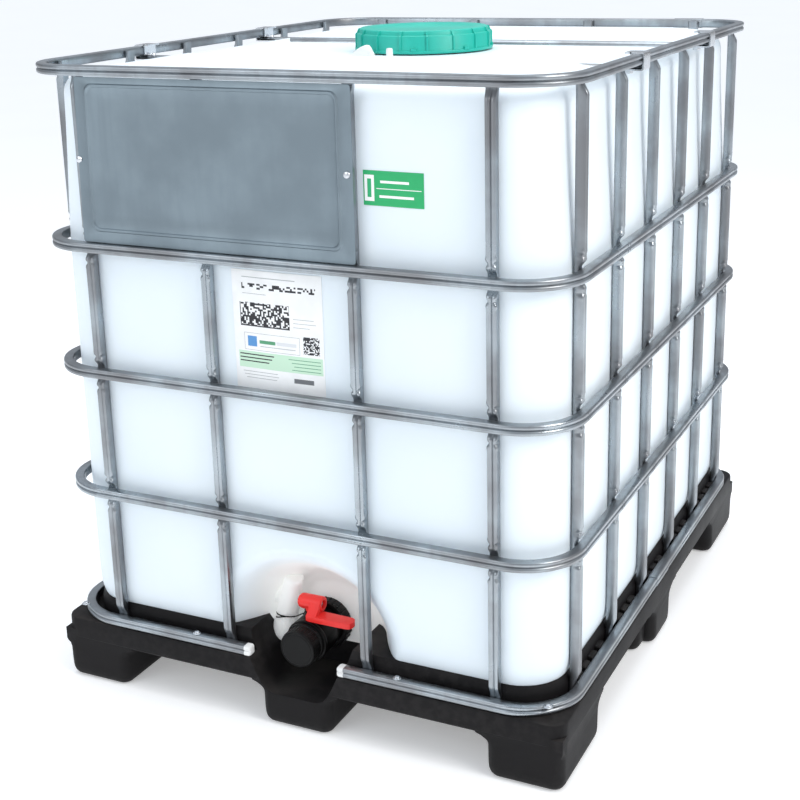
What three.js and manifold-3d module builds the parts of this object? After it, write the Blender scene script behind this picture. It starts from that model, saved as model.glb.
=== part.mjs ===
import * as THREE from "three";
import { mergeVertices } from "three/addons/utils/BufferGeometryUtils.js";
import Module from "manifold-3d";

const wasm = await Module();
wasm.setup();

// Millimetres. X runs across the front, +Y to the back, +Z up. The valve faces -Y.
const HALF_X = 500;
const HALF_Y = 600;
const GAP = 0.3;

// Cage tubes
const TUBE = 18;
const HOOP_HEIGHT = 17.5;
const HOOP_CORNER = 108;
const HOOP_BEVEL = 2;
const HOOP_LEVELS = { base: 135, lower: 391, middle: 621, upper: 849.5, top: 1151.25 };
const POST_WIDTH = 17.5;
const POST_FRONT = 10;
const POST_BACK = 27;
const POST_FOOT = 126.6;
const POST_TOP = 1156;
const DENT_RAMP = 14;
const FRONT_POSTS = [-375, -138, 138, 375];
const SIDE_POSTS = [-485, -288, -97, 97, 288, 485];
const BASE_OPENING = 100;

// Top cross tubes and their clamps
const CROSS_TUBES = { front: -221, rear: 225 };
const CROSS_RADIUS = 9;
const CROSS_Z = 1132.8;
const CROSS_ROUND_TO = 436;
const CROSS_FLAT_TO = 496;
const CLAMP_LENGTH = 36;
const CLAMP_SHEET = 2.4;

// Bottle
const BOTTLE = { x: 472, y: 571.5, corner: 87, bottom: 112, top: 1140, wall: 3 };
const BOTTLE_FOOT = { in: 60, up: 90 };
const BOTTLE_SHOULDER = { in: 34, up: 34 };
const RECESS = { x: 18, radius: 72, spring: 189, flare: 68, back: -455 };
const COLUMN = { radius: 22, y: -488, foot: [-82, 114], head: [-47, 243], bridge: [-16, 8] };
const NECK = { outer: 112, inner: 103, top: 1170 };
const OUTLET_Z = 149.5;
const OUTLET = { outer: 40, inner: 25, front: -474 };

// Lid
const LID = { radius: 129, skirtInner: 116, bottom: 1142.5, underside: 1175, top: 1184 };
const LID_RIBS = 16;

// Valve, all on the outlet axis
const NUT = { outer: 46, inner: 41.6, ribs: 14, rib: 1.5, front: -482, back: -458 };
const VALVE = { bore: 23.5, body: 39, thread: 31.8, stemY: -519, face: -576 };
const STEM_RADIUS = 4;
const HUB = { bottom: 198.3, z: 214, radius: 14, left: -27, right: 22 };
const ARM = { bottom: 190.8, top: 201, front: -31, rear: -3, tip: 91 };
const CAP = { radius: 34.5, inner: 32.2, rim: 37, front: -583, back: -553, ribs: 12 };

// Pallet
const PALLET = { corner: 30, top: 125.5, under: 72, pan: 111.6, rim: 163, lip: 150 };
const RIM_X = 472;
const RIM_Y = 572;
const RIM_LEAN = 4.5;
const FOOT_X = { corner: [363, 500], middle: [-70, 70] };
const FOOT_Y = { corner: [400, 600], middle: [-60, 60] };
const NOTCH = { floor: 63, half: 46, shoulder: 130, shoulderHalf: 92, rimHalf: 105, back: -450 };

// Plates and labels
const ID_PLATE = { left: -380, right: 148, bottom: 859.5, top: 1141, sheet: 1.2 };
const BEAD = { left: -357, right: 123, bottom: 882.5, top: 1127, width: 6, height: 1.6 };
const PLATE_SCREWS = [-375, 138];
const PLATE_SCREW_Z = 1002;
const GREEN_LABEL = { left: 156, right: 261, bottom: 953, top: 1008 };
const PAPER_LABEL = { left: -100, right: 70, bottom: 625, top: 828 };
const LABEL_SHEET = 0.6;
const HOOP_SCREWS = { left_corner: [-466, -575], left: [-204, -591], right: [200, -591], right_corner: [466, -575] };

const group = new THREE.Group();
group.name = "intermediate_bulk_container";

// ---------- solids ----------

function solid(geometry) {
  const bare = geometry.index ? geometry.toNonIndexed() : geometry.clone();
  bare.deleteAttribute("normal");
  bare.deleteAttribute("uv");
  const merged = mergeVertices(bare, 1e-3);
  return new wasm.Manifold(
    new wasm.Mesh({
      numProp: 3,
      vertProperties: new Float32Array(merged.attributes.position.array),
      triVerts: new Uint32Array(merged.index.array),
    }),
  );
}

function join(pieces) {
  return pieces.reduce((whole, piece) => whole.add(piece));
}

function cut(body, tools) {
  return tools.reduce((left, tool) => left.subtract(tool), body);
}

function add(name, body, material) {
  const { vertProperties, triVerts, numProp } = body.getMesh();
  const count = vertProperties.length / numProp;
  const points = new Float32Array(count * 3);
  for (let i = 0; i < count; i++) {
    points.set(vertProperties.subarray(i * numProp, i * numProp + 3), i * 3);
  }
  const geometry = new THREE.BufferGeometry();
  geometry.setAttribute("position", new THREE.BufferAttribute(points, 3));
  geometry.setIndex(new THREE.BufferAttribute(new Uint32Array(triVerts), 1));
  geometry.computeVertexNormals();
  const mesh = new THREE.Mesh(geometry, material());
  mesh.name = name;
  group.add(mesh);
}

function box(x0, x1, y0, y1, z0, z1) {
  const geometry = new THREE.BoxGeometry(x1 - x0, y1 - y0, z1 - z0);
  return solid(geometry.translate((x0 + x1) / 2, (y0 + y1) / 2, (z0 + z1) / 2));
}

function polygon(points) {
  return new THREE.Shape(points.map(([a, b]) => new THREE.Vector2(a, b)));
}

function roundedRect(halfA, halfB, radius) {
  const shape = new THREE.Shape();
  const a = halfA - radius;
  const b = halfB - radius;
  shape.absarc(a, -b, radius, -Math.PI / 2, 0);
  shape.absarc(a, b, radius, 0, Math.PI / 2);
  shape.absarc(-a, b, radius, Math.PI / 2, Math.PI);
  shape.absarc(-a, -b, radius, Math.PI, Math.PI * 1.5);
  return shape;
}

function plain(depth, segments) {
  return { depth, bevelEnabled: false, curveSegments: segments };
}

// A plan shape raised from z0 to z1.
function raised(shape, z0, z1, segments = 5) {
  return solid(new THREE.ExtrudeGeometry(shape, plain(z1 - z0, segments)).translate(0, 0, z0));
}

// The same, with both rims drawn in by `inset` over the height `rise`.
function raisedSoft(shape, z0, z1, inset, rise, steps, segments = 5) {
  const geometry = new THREE.ExtrudeGeometry(shape, {
    depth: z1 - z0 - 2 * rise,
    bevelEnabled: true,
    bevelThickness: rise,
    bevelSize: inset,
    bevelOffset: -inset,
    bevelSegments: steps,
    curveSegments: segments,
  });
  return solid(geometry.translate(0, 0, z0 + rise));
}

// A front elevation (x, z) pushed from y0 back to y1.
function frontal(shape, y0, y1, segments = 5) {
  const geometry = new THREE.ExtrudeGeometry(shape, plain(y1 - y0, segments));
  return solid(geometry.rotateX(Math.PI / 2).translate(0, y1, 0));
}

// A side elevation (y, z) pushed from x0 to x1.
function sideways(shape, x0, x1, segments = 5) {
  const geometry = new THREE.ExtrudeGeometry(shape, plain(x1 - x0, segments));
  const turn = new THREE.Matrix4().makeBasis(
    new THREE.Vector3(0, 1, 0),
    new THREE.Vector3(0, 0, 1),
    new THREE.Vector3(1, 0, 0),
  );
  return solid(geometry.applyMatrix4(turn).translate(x0, 0, 0));
}

function post(radius, x, y, z0, z1, segments = 16) {
  const geometry = new THREE.CylinderGeometry(radius, radius, z1 - z0, segments);
  return solid(geometry.rotateX(Math.PI / 2).translate(x, y, (z0 + z1) / 2));
}

function rod(radius, y0, y1, z = OUTLET_Z, segments = 28) {
  const geometry = new THREE.CylinderGeometry(radius, radius, y1 - y0, segments);
  return solid(geometry.translate(0, (y0 + y1) / 2, z));
}

// A profile of [radius, y] points, going from the axis to the back, turned round the outlet axis.
function turned(profile, segments = 28) {
  const points = profile.map(([r, y]) => new THREE.Vector2(r, y));
  return solid(new THREE.LatheGeometry(points, segments).translate(0, 0, OUTLET_Z));
}

// ---------- materials ----------

function finish(color, roughness, metalness) {
  return () => new THREE.MeshStandardMaterial({ color, roughness, metalness });
}

const steel = finish(0x9aa0a6, 0.34, 0.95);
const plateSteel = finish(0x8f9ba2, 0.4, 0.9);
const zinc = finish(0xc4c8cc, 0.35, 0.9);
const bottlePlastic = finish(0xe6f0f6, 0.45, 0);
const palletPlastic = finish(0x232122, 0.6, 0);
const lidPlastic = finish(0x2bc9a5, 0.4, 0);
const gasketRubber = finish(0x1c1c1c, 0.85, 0);
const valvePlastic = finish(0x161616, 0.5, 0);
const handlePlastic = finish(0xe0322e, 0.42, 0);
const whitePlastic = finish(0xeeeeea, 0.45, 0);
const greenLabel = finish(0x23af69, 0.5, 0);
const paperLabel = finish(0xf4f3ee, 0.75, 0);

// ---------- pallet ----------

function bottleEnvelope(grow) {
  const x = BOTTLE.x + grow;
  const y = BOTTLE.y + grow;
  const z0 = BOTTLE.bottom - grow;
  const z1 = BOTTLE.top + grow;
  const outline = roundedRect(x, y, BOTTLE.corner + grow);
  const foot = raisedSoft(outline, z0, z1 + 400, BOTTLE_FOOT.in, BOTTLE_FOOT.up, 3, 4);
  const shoulder = raisedSoft(outline, z0 - 400, z1, BOTTLE_SHOULDER.in, BOTTLE_SHOULDER.up, 2, 4);
  return foot.intersect(shoulder);
}

function recessArch(radius) {
  const arch = new THREE.Shape();
  arch.moveTo(radius, -300);
  arch.lineTo(radius, RECESS.spring);
  arch.absarc(0, RECESS.spring, radius, 0, Math.PI);
  arch.lineTo(-radius, -300);
  arch.closePath();
  return arch;
}

// The scoop round the valve: narrow at the back, flaring to the bottle's front.
function recessScoop(grow) {
  const deep = BOTTLE.y + RECESS.back + grow;
  const flare = new THREE.ExtrudeGeometry(recessArch(RECESS.radius + grow + RECESS.flare), {
    depth: 40,
    bevelEnabled: true,
    bevelThickness: deep,
    bevelSize: RECESS.flare,
    bevelOffset: -RECESS.flare,
    bevelSegments: 3,
    curveSegments: 7,
  });
  return solid(flare.rotateX(Math.PI / 2).translate(RECESS.x, -BOTTLE.y, 0));
}

// Pushes a shape sideways as it rises, to follow the column's lean.
function leaning(geometry) {
  const [footX, footZ] = COLUMN.foot;
  const slope = (COLUMN.head[0] - footX) / (COLUMN.head[1] - footZ);
  const shear = new THREE.Matrix4().makeShear(0, 0, 0, 0, slope, 0);
  return geometry.applyMatrix4(shear).translate(footX - slope * footZ, COLUMN.y, 0);
}

// The upright moulded column beside the outlet.
function column(grow) {
  const r = COLUMN.radius + grow;
  const low = COLUMN.foot[1] - grow;
  const high = COLUMN.head[1] + grow;
  const profile = [
    [0, low],
    [r - 12, low + 2],
    [r - 4, low + 9],
    [r, low + 20],
    [r, high - 7],
    [r - 6, high],
    [0, high],
  ].map(([x, z]) => new THREE.Vector2(x, z));
  return solid(leaning(new THREE.LatheGeometry(profile, 20).rotateX(Math.PI / 2)));
}

function columnBridge(grow) {
  const [left, right] = COLUMN.bridge;
  const width = right - left + 2 * grow;
  const depth = RECESS.back - 1.2 - COLUMN.y;
  const height = COLUMN.head[1] - COLUMN.foot[1] - 18 + 2 * grow;
  const web = new THREE.BoxGeometry(width, depth, height);
  const middle = (COLUMN.foot[1] + COLUMN.head[1] + 10) / 2;
  return solid(leaning(web.translate((left + right) / 2, depth / 2, middle)));
}

function palletFeet() {
  const xs = [[-500, -363], FOOT_X.middle, FOOT_X.corner];
  const ys = [[-600, -400], FOOT_Y.middle, FOOT_Y.corner];
  const feet = [];
  for (const [x0, x1] of xs) {
    for (const [y0, y1] of ys) {
      const block = raisedSoft(roundedRect((x1 - x0) / 2, (y1 - y0) / 2, 20), 0, PALLET.under + 60, 8, 16, 1, 2);
      feet.push(block.translate([(x0 + x1) / 2, (y0 + y1) / 2, 0]));
    }
  }
  return join(feet).intersect(box(-500, 500, -600, 600, 0, PALLET.under + 10));
}

function valveNotch() {
  return frontal(
    polygon([
      [-NOTCH.half, NOTCH.floor],
      [NOTCH.half, NOTCH.floor],
      [NOTCH.shoulderHalf, NOTCH.shoulder],
      [NOTCH.rimHalf, PALLET.rim + 1],
      [-NOTCH.rimHalf, PALLET.rim + 1],
      [-NOTCH.shoulderHalf, NOTCH.shoulder],
    ]),
    -HALF_Y - 1,
    NOTCH.back,
  );
}

function pallet() {
  const deck = raised(roundedRect(HALF_X, HALF_Y, PALLET.corner), PALLET.under, PALLET.top, 4);
  const wall = raised(roundedRect(RIM_X, RIM_Y, BOTTLE.corner), PALLET.top - 10, PALLET.lip, 4);
  const lean = raisedSoft(
    roundedRect(RIM_X, RIM_Y, BOTTLE.corner),
    PALLET.lip - (PALLET.rim - PALLET.lip) - 2,
    PALLET.rim,
    RIM_LEAN,
    PALLET.rim - PALLET.lip,
    1,
    4,
  );
  const cradle = bottleEnvelope(0.4).subtract(recessScoop(-1));
  return cut(join([deck, wall, lean, palletFeet()]), [cradle, valveNotch(), column(1.6), columnBridge(1.6)]);
}

add("pallet", pallet(), palletPlastic);

// ---------- bottle ----------

function tubeChannels(grow) {
  return Object.values(CROSS_TUBES).map((y) =>
    box(-HALF_X, HALF_X, y - 19 - grow, y + 19 + grow, CROSS_Z - 20 - grow, BOTTLE.top + 20),
  );
}

function bottle() {
  const outside = cut(bottleEnvelope(0), [recessScoop(0), ...tubeChannels(0)]);
  const inside = cut(bottleEnvelope(-BOTTLE.wall), [
    recessScoop(BOTTLE.wall),
    ...tubeChannels(BOTTLE.wall),
  ]);
  const neck = post(NECK.outer, 0, 0, BOTTLE.top - 4, NECK.top, 32);
  const spout = rod(OUTLET.outer, OUTLET.front, RECESS.back + 2);
  return cut(join([outside, neck, spout]), [
    inside,
    post(NECK.inner, 0, 0, BOTTLE.top - 40, NECK.top + 1, 32),
    rod(OUTLET.inner, OUTLET.front - 1, RECESS.back + 12),
  ]);
}

add("bottle", bottle(), bottlePlastic);
add(
  "bottle_column",
  join([column(0), columnBridge(0)])
    .intersect(recessScoop(-GAP))
    .subtract(rod(OUTLET.outer + GAP, -500, RECESS.back)),
  bottlePlastic,
);

// ---------- lid ----------

function lid() {
  const profile = [
    [0, LID.underside],
    [LID.skirtInner, LID.underside],
    [LID.skirtInner, LID.bottom],
    [LID.radius + 2, LID.bottom],
    [LID.radius + 2, LID.bottom + 5],
    [LID.radius - 1, LID.bottom + 6],
    [LID.radius - 1, LID.top - 10],
    [LID.radius - 5, LID.top - 8],
    [LID.radius - 5, LID.top - 2],
    [LID.radius - 8, LID.top],
    [0, LID.top],
  ].map(([r, z]) => new THREE.Vector2(r, z));
  const body = solid(new THREE.LatheGeometry(profile, 32).rotateX(Math.PI / 2));
  const ribs = [];
  for (let i = 0; i < LID_RIBS; i++) {
    const angle = (i / LID_RIBS) * 360;
    ribs.push(box(LID.radius - 9, LID.radius + 4, -3, 3, LID.bottom + 1, LID.top - 3).rotate([0, 0, angle]));
  }
  return join([body, ...ribs]);
}

function lidGasket() {
  const outer = post(NECK.outer - 2, 0, 0, NECK.top + GAP, LID.underside - GAP, 24);
  return outer.subtract(post(NECK.inner + 1, 0, 0, NECK.top, LID.underside, 24));
}

function lidLock() {
  const base = box(-78, 14, -176, -140, BOTTLE.top + GAP, BOTTLE.top + 3);
  const lug = frontal(
    polygon([
      [-76, BOTTLE.top + 2],
      [-34, BOTTLE.top + 2],
      [-38, BOTTLE.top + 15],
      [-48, BOTTLE.top + 19],
      [-60, BOTTLE.top + 12],
    ]),
    -152,
    -142,
  );
  return join([base, lug, post(6, 4, -158, BOTTLE.top + 2, BOTTLE.top + 15, 12)]);
}

add("lid", lid(), lidPlastic);
add("lid_gasket", lidGasket(), gasketRubber);
add("lid_lock_lug", lidLock(), whitePlastic);

// ---------- cage hoops ----------

// A closed tube ring with softened edges and a V groove along the middle of its outer face.
function hoop(level) {
  const outline = roundedRect(HALF_X, HALF_Y, HOOP_CORNER);
  const half = HOOP_HEIGHT / 2;
  const under = raisedSoft(outline, level - half, level, HOOP_BEVEL, HOOP_BEVEL, 1, 4);
  const over = raisedSoft(outline, level, level + half, HOOP_BEVEL, HOOP_BEVEL, 1, 4);
  const hollow = roundedRect(HALF_X - TUBE, HALF_Y - TUBE, HOOP_CORNER - TUBE);
  return join([under, over]).subtract(raised(hollow, level - half - 1, level + half + 1, 4));
}

function baseHoop() {
  const level = HOOP_LEVELS.base;
  const opening = box(-BASE_OPENING, BASE_OPENING, -HALF_Y - 5, -HALF_Y + 40, level - 20, level + 20);
  return hoop(level).subtract(opening);
}

function hoopEnd(side) {
  const level = HOOP_LEVELS.base;
  const x0 = side * (BASE_OPENING - GAP);
  const x1 = side * (BASE_OPENING - 13);
  const low = Math.min(x0, x1);
  const high = Math.max(x0, x1);
  return box(low, high, -HALF_Y, -HALF_Y + TUBE, level - HOOP_HEIGHT / 2, level + HOOP_HEIGHT / 2);
}

function hoopScrew([x, y]) {
  const top = HOOP_LEVELS.base + HOOP_HEIGHT / 2;
  return join([
    post(7, x, y, top + GAP, top + GAP + 1.2, 12),
    post(4.5, x, y, top + GAP + 1, top + GAP + 3.6, 6),
  ]);
}

add("hoop_base", baseHoop(), steel);
for (const name of ["lower", "middle", "upper", "top"]) {
  add(`hoop_${name}`, hoop(HOOP_LEVELS[name]), steel);
}
add("hoop_end_left", hoopEnd(-1), whitePlastic);
add("hoop_end_right", hoopEnd(1), whitePlastic);
for (const [name, at] of Object.entries(HOOP_SCREWS)) {
  add(`hoop_screw_${name}`, hoopScrew(at), zinc);
}

// ---------- cage posts ----------

// One upright in side view: pressed flat where it passes inside each hoop.
function postProfile() {
  const pressed = TUBE + GAP;
  const half = HOOP_HEIGHT / 2 + 1;
  const points = [
    [POST_BACK, POST_FOOT],
    [POST_BACK, POST_TOP],
    [pressed, POST_TOP],
  ];
  const { base, lower, middle, upper, top } = HOOP_LEVELS;
  points.push([pressed, top - half], [POST_FRONT, top - half - DENT_RAMP]);
  for (const level of [upper, middle, lower]) {
    points.push(
      [POST_FRONT, level + half + DENT_RAMP],
      [pressed, level + half],
      [pressed, level - half],
      [POST_FRONT, level - half - DENT_RAMP],
    );
  }
  points.push([POST_FRONT, base + half + DENT_RAMP], [pressed, base + half], [pressed, POST_FOOT]);
  return polygon(points.reverse());
}

function cagePost() {
  const bar = sideways(postProfile(), -POST_WIDTH / 2, POST_WIDTH / 2);
  const groove = raised(
    polygon([
      [-3, POST_FRONT - 0.5],
      [3, POST_FRONT - 0.5],
      [0, POST_FRONT + 2.4],
    ]),
    POST_FOOT - 5,
    POST_TOP + 5,
  );
  return bar.subtract(groove);
}

const upright = cagePost();
FRONT_POSTS.forEach((x, i) => {
  add(`post_front_${i + 1}`, upright.translate([x, -HALF_Y, 0]), steel);
  add(`post_back_${i + 1}`, upright.rotate([0, 0, 180]).translate([x, HALF_Y, 0]), steel);
});
SIDE_POSTS.forEach((y, i) => {
  add(`post_left_${i + 1}`, upright.rotate([0, 0, -90]).translate([-HALF_X, y, 0]), steel);
  add(`post_right_${i + 1}`, upright.rotate([0, 0, 90]).translate([HALF_X, y, 0]), steel);
});

// ---------- top cross tubes and clamps ----------

function crossTube(y) {
  const round = new THREE.CylinderGeometry(CROSS_RADIUS, CROSS_RADIUS, 2 * CROSS_ROUND_TO, 14);
  const middle = solid(round.rotateZ(Math.PI / 2).translate(0, y, CROSS_Z));
  const low = CROSS_Z + 3;
  const high = CROSS_Z + CROSS_RADIUS;
  const flats = [-1, 1].map((side) => {
    const ends = [side * (CROSS_ROUND_TO - 4), side * CROSS_FLAT_TO].sort((p, q) => p - q);
    return box(ends[0], ends[1], y - 12, y + 12, low, high);
  });
  const ramp = frontal(
    polygon([
      [-CROSS_ROUND_TO - 22, low],
      [-CROSS_ROUND_TO, CROSS_Z - 6],
      [CROSS_ROUND_TO, CROSS_Z - 6],
      [CROSS_ROUND_TO + 22, low],
      [CROSS_ROUND_TO + 22, low + 1],
      [-CROSS_ROUND_TO - 22, low + 1],
    ]),
    y - 9,
    y + 9,
  );
  const holes = [-1, 1].map((side) => post(4.4, side * 472, y, low - 5, high + 5, 12));
  return cut(join([middle, ...flats, ramp]), holes);
}

// A bent strip over the top rail, with its bolt through the flattened tube end below.
function clamp(side, y) {
  const over = HOOP_LEVELS.top + HOOP_HEIGHT / 2 + GAP;
  const under = CROSS_Z + 3 - GAP;
  const face = HALF_X + GAP;
  const profile = polygon([
    [480, over],
    [face, over],
    [face, under],
    [460, under],
    [460, under - CLAMP_SHEET],
    [face + CLAMP_SHEET, under - CLAMP_SHEET],
    [face + CLAMP_SHEET, over + CLAMP_SHEET],
    [480, over + CLAMP_SHEET],
  ]);
  const strip = frontal(profile, y - CLAMP_LENGTH / 2, y + CLAMP_LENGTH / 2);
  const drilled = strip.subtract(post(4.4, 472, y, under - 5, under + 2, 12));
  return side > 0 ? drilled : drilled.mirror([1, 0, 0]);
}

function clampBolt(side, y) {
  const seat = CROSS_Z + 3 - 2 * GAP - CLAMP_SHEET;
  return join([
    post(4, side * 472, y, seat - 3, CROSS_Z + CROSS_RADIUS + 4, 12),
    post(7.2, side * 472, y, seat - 6, seat, 6),
  ]);
}

for (const [name, y] of Object.entries(CROSS_TUBES)) {
  add(`cross_tube_${name}`, crossTube(y), steel);
  add(`clamp_${name}_left`, clamp(-1, y), zinc);
  add(`clamp_${name}_right`, clamp(1, y), zinc);
  add(`clamp_bolt_${name}_left`, clampBolt(-1, y), zinc);
  add(`clamp_bolt_${name}_right`, clampBolt(1, y), zinc);
}

// ---------- identification plate and labels ----------

function idPlate() {
  const front = -HALF_Y + POST_FRONT - GAP;
  const { left, right, bottom, top, sheet } = ID_PLATE;
  const leaf = box(left, right, front - sheet, front, bottom, top);
  const out = box(BEAD.left, BEAD.right, front - sheet - BEAD.height, front - 0.5, BEAD.bottom, BEAD.top);
  const inner = box(
    BEAD.left + BEAD.width,
    BEAD.right - BEAD.width,
    front - 10,
    front - sheet,
    BEAD.bottom + BEAD.width,
    BEAD.top - BEAD.width,
  );
  const holes = PLATE_SCREWS.map((x) => rod(2.8, front - 9, front + 5, PLATE_SCREW_Z, 12).translate([x, 0, 0]));
  return cut(join([leaf, out.subtract(inner)]), holes);
}

function plateScrew(x) {
  const seat = -HALF_Y + POST_FRONT - ID_PLATE.sheet - 2 * GAP;
  const head = rod(5.5, seat - 3, seat, PLATE_SCREW_Z, 12);
  const shank = rod(2.4, seat - 1, seat + ID_PLATE.sheet + GAP, PLATE_SCREW_Z, 12);
  return join([head, shank]).translate([x, 0, 0]);
}

function label({ left, right, bottom, top }) {
  const back = -BOTTLE.y - GAP;
  return box(left, right, back - LABEL_SHEET, back, bottom, top);
}

add("id_plate", idPlate(), plateSteel);
add("plate_screw_left", plateScrew(PLATE_SCREWS[0]), zinc);
add("plate_screw_right", plateScrew(PLATE_SCREWS[1]), zinc);
add("label_green", label(GREEN_LABEL), greenLabel);
add("label_paper", label(PAPER_LABEL), paperLabel);

// ---------- valve ----------

function unionNut() {
  const ring = turned(
    [
      [38, NUT.front],
      [NUT.outer - 2, NUT.front],
      [NUT.outer, NUT.front + 3],
      [NUT.outer, NUT.back],
      [NUT.inner, NUT.back],
      [NUT.inner, NUT.front + 3.6],
      [38, NUT.front + 3.6],
      [38, NUT.front],
    ],
    28,
  );
  const grips = [];
  for (let i = 0; i < NUT.ribs; i++) {
    const grip = box(NUT.outer - 3, NUT.outer + NUT.rib, NUT.front + 4, NUT.back, -2.6, 2.6);
    grips.push(grip.rotate([0, (i / NUT.ribs) * 360, 0]).translate([0, 0, OUTLET_Z]));
  }
  return join([ring, ...grips]);
}

function valveBody() {
  const y = VALVE.stemY;
  const shell = turned(
    [
      [0, VALVE.face],
      [VALVE.thread, VALVE.face],
      [VALVE.thread, y - 31],
      [35, y - 29],
      [VALVE.body, y - 19],
      [VALVE.body, y + 16],
      [37, y + 22],
      [37, -478],
      [NUT.inner - GAP, -478],
      [NUT.inner - GAP, OUTLET.front - GAP],
      [0, OUTLET.front - GAP],
    ],
    24,
  );
  const tower = post(15, 0, y, OUTLET_Z, HUB.bottom - GAP, 20);
  return cut(join([shell, tower]), [
    rod(VALVE.bore, VALVE.face - 1, OUTLET.front + 1),
    post(STEM_RADIUS + 0.3, 0, y, 118, HUB.bottom + 1, 16),
  ]);
}

function valveDisc() {
  const y = VALVE.stemY;
  const plate = rod(VALVE.bore - 0.5, y - 2.5, y + 2.5);
  const spine = post(7.5, 0, y, OUTLET_Z - 20, OUTLET_Z + 20, 16);
  return join([plate, spine, post(STEM_RADIUS, 0, y, 119, HUB.z + 5.5, 16)]);
}

// A barrel-shaped hub lying across the stem, with a flat lever hung from its front.
function handleArm() {
  const lever = polygon([
    [3, ARM.front],
    [ARM.tip - 8, ARM.front + 1],
    [ARM.tip, ARM.front + 8],
    [ARM.tip, ARM.rear - 10],
    [ARM.tip - 8, ARM.rear - 2],
    [24, ARM.rear],
    [17.5, -16],
    [3, -16],
  ]);
  const arm = raisedSoft(lever, ARM.bottom, ARM.top, 1.5, 1.5, 1);
  const web = sideways(
    polygon([
      [ARM.front, ARM.bottom + 2],
      [-16, ARM.bottom + 2],
      [-16, HUB.bottom],
      [0, HUB.bottom],
      [0, HUB.z + 10],
      [-12, HUB.z + 6],
      [ARM.front, ARM.top - 1],
    ]),
    3,
    18,
  );
  const barrel = new THREE.LatheGeometry(
    [
      [0, HUB.left],
      [HUB.radius - 6, HUB.left],
      [HUB.radius - 1.5, HUB.left + 4],
      [HUB.radius, HUB.left + 9],
      [HUB.radius, HUB.right - 2],
      [HUB.radius - 2, HUB.right],
      [0, HUB.right],
    ].map(([r, x]) => new THREE.Vector2(r, x)),
    20,
  );
  const hub = solid(barrel.rotateZ(-Math.PI / 2).translate(0, 0, HUB.z));
  const base = post(13, 0, 0, HUB.bottom, HUB.z, 20);
  const screwHole = new THREE.CylinderGeometry(2.9, 2.9, HUB.right, 12);
  const pocket = new THREE.CylinderGeometry(8, 8, 8, 16);
  return cut(join([arm, web, hub, base]), [
    post(STEM_RADIUS + 0.05, 0, 0, HUB.bottom - 5, HUB.z + 6, 16),
    solid(screwHole.rotateZ(-Math.PI / 2).translate(HUB.right / 2 + 1, 0, HUB.z)),
    solid(pocket.rotateZ(-Math.PI / 2).translate(HUB.right - 3, 0, HUB.z)),
  ]).translate([0, VALVE.stemY, 0]);
}

function dustCap() {
  const shell = turned(
    [
      [0, CAP.front],
      [CAP.radius - 3, CAP.front],
      [CAP.radius, CAP.front + 3],
      [CAP.radius, CAP.back - 4],
      [CAP.rim, CAP.back - 3],
      [CAP.rim, CAP.back],
      [CAP.inner, CAP.back],
      [CAP.inner, CAP.front + 3],
      [0, CAP.front + 3],
    ],
    24,
  );
  const grips = [];
  for (let i = 0; i < CAP.ribs; i++) {
    const grip = box(CAP.radius - 1.5, CAP.radius + 1, CAP.front + 5, CAP.back - 2, -1.5, 1.5);
    grips.push(grip.rotate([0, (i / CAP.ribs) * 360, 0]).translate([0, 0, OUTLET_Z]));
  }
  return join([shell, ...grips]);
}

// A thin tie pulled round the front of the column and across to the valve's tower.
function neckTie() {
  const band = new THREE.LatheGeometry(
    [[22.3, 164.6], [23.9, 164.6], [23.9, 167.4], [22.3, 167.4], [22.3, 164.6]].map(([r, z]) => new THREE.Vector2(r, z)),
    32,
  );
  const loop = solid(leaning(band.rotateX(Math.PI / 2)));
  const front = box(-120, 0, COLUMN.y - 40, COLUMN.y + 6, 150, 180);
  const tail = frontal(
    polygon([[-47, 165.4], [-45, 164.6], [-17, 187.4], [-18.6, 189.2]]),
    COLUMN.y - 14,
    COLUMN.y - 11,
  );
  return join([loop.intersect(front), tail]);
}

// Lies along the hub and holds it to the stem.
function handleScrew() {
  const shank = new THREE.CylinderGeometry(2.6, 2.6, 13.5, 12);
  const head = new THREE.CylinderGeometry(5.6, 4.8, 3, 16);
  return join([
    solid(shank.rotateZ(-Math.PI / 2).translate(STEM_RADIUS + GAP + 6.75, VALVE.stemY, HUB.z)),
    solid(head.rotateZ(-Math.PI / 2).translate(HUB.right - 5.2, VALVE.stemY, HUB.z)),
  ]);
}

add("union_nut", unionNut(), valvePlastic);
add("valve_body", valveBody(), valvePlastic);
add("valve_disc", valveDisc(), whitePlastic);
add("valve_handle", handleArm(), handlePlastic);
add("handle_screw", handleScrew(), zinc);
add("dust_cap", dustCap(), valvePlastic);
add("cap_seal", rod(31, CAP.front + 3 + GAP, VALVE.face - GAP), gasketRubber);
add("neck_tie", neckTie(), valvePlastic);

export default group;
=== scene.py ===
"""A caged liquid container on its pallet: tube cage, moulded bottle, screw lid, outlet valve."""

import math

import bmesh
import bpy
from mathutils import Matrix, Vector


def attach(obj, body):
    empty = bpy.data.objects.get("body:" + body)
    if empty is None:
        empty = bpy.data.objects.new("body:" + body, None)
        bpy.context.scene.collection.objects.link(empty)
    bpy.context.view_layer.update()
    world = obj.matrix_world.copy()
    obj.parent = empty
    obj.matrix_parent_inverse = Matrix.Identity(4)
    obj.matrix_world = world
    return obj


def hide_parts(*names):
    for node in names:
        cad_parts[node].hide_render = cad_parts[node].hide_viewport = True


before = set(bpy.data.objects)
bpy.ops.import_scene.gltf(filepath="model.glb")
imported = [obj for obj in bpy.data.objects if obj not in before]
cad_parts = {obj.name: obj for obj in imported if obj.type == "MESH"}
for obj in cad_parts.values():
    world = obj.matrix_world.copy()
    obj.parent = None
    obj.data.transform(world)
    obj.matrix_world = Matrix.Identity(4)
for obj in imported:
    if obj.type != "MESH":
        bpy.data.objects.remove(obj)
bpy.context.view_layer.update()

MM = 0.001
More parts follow.
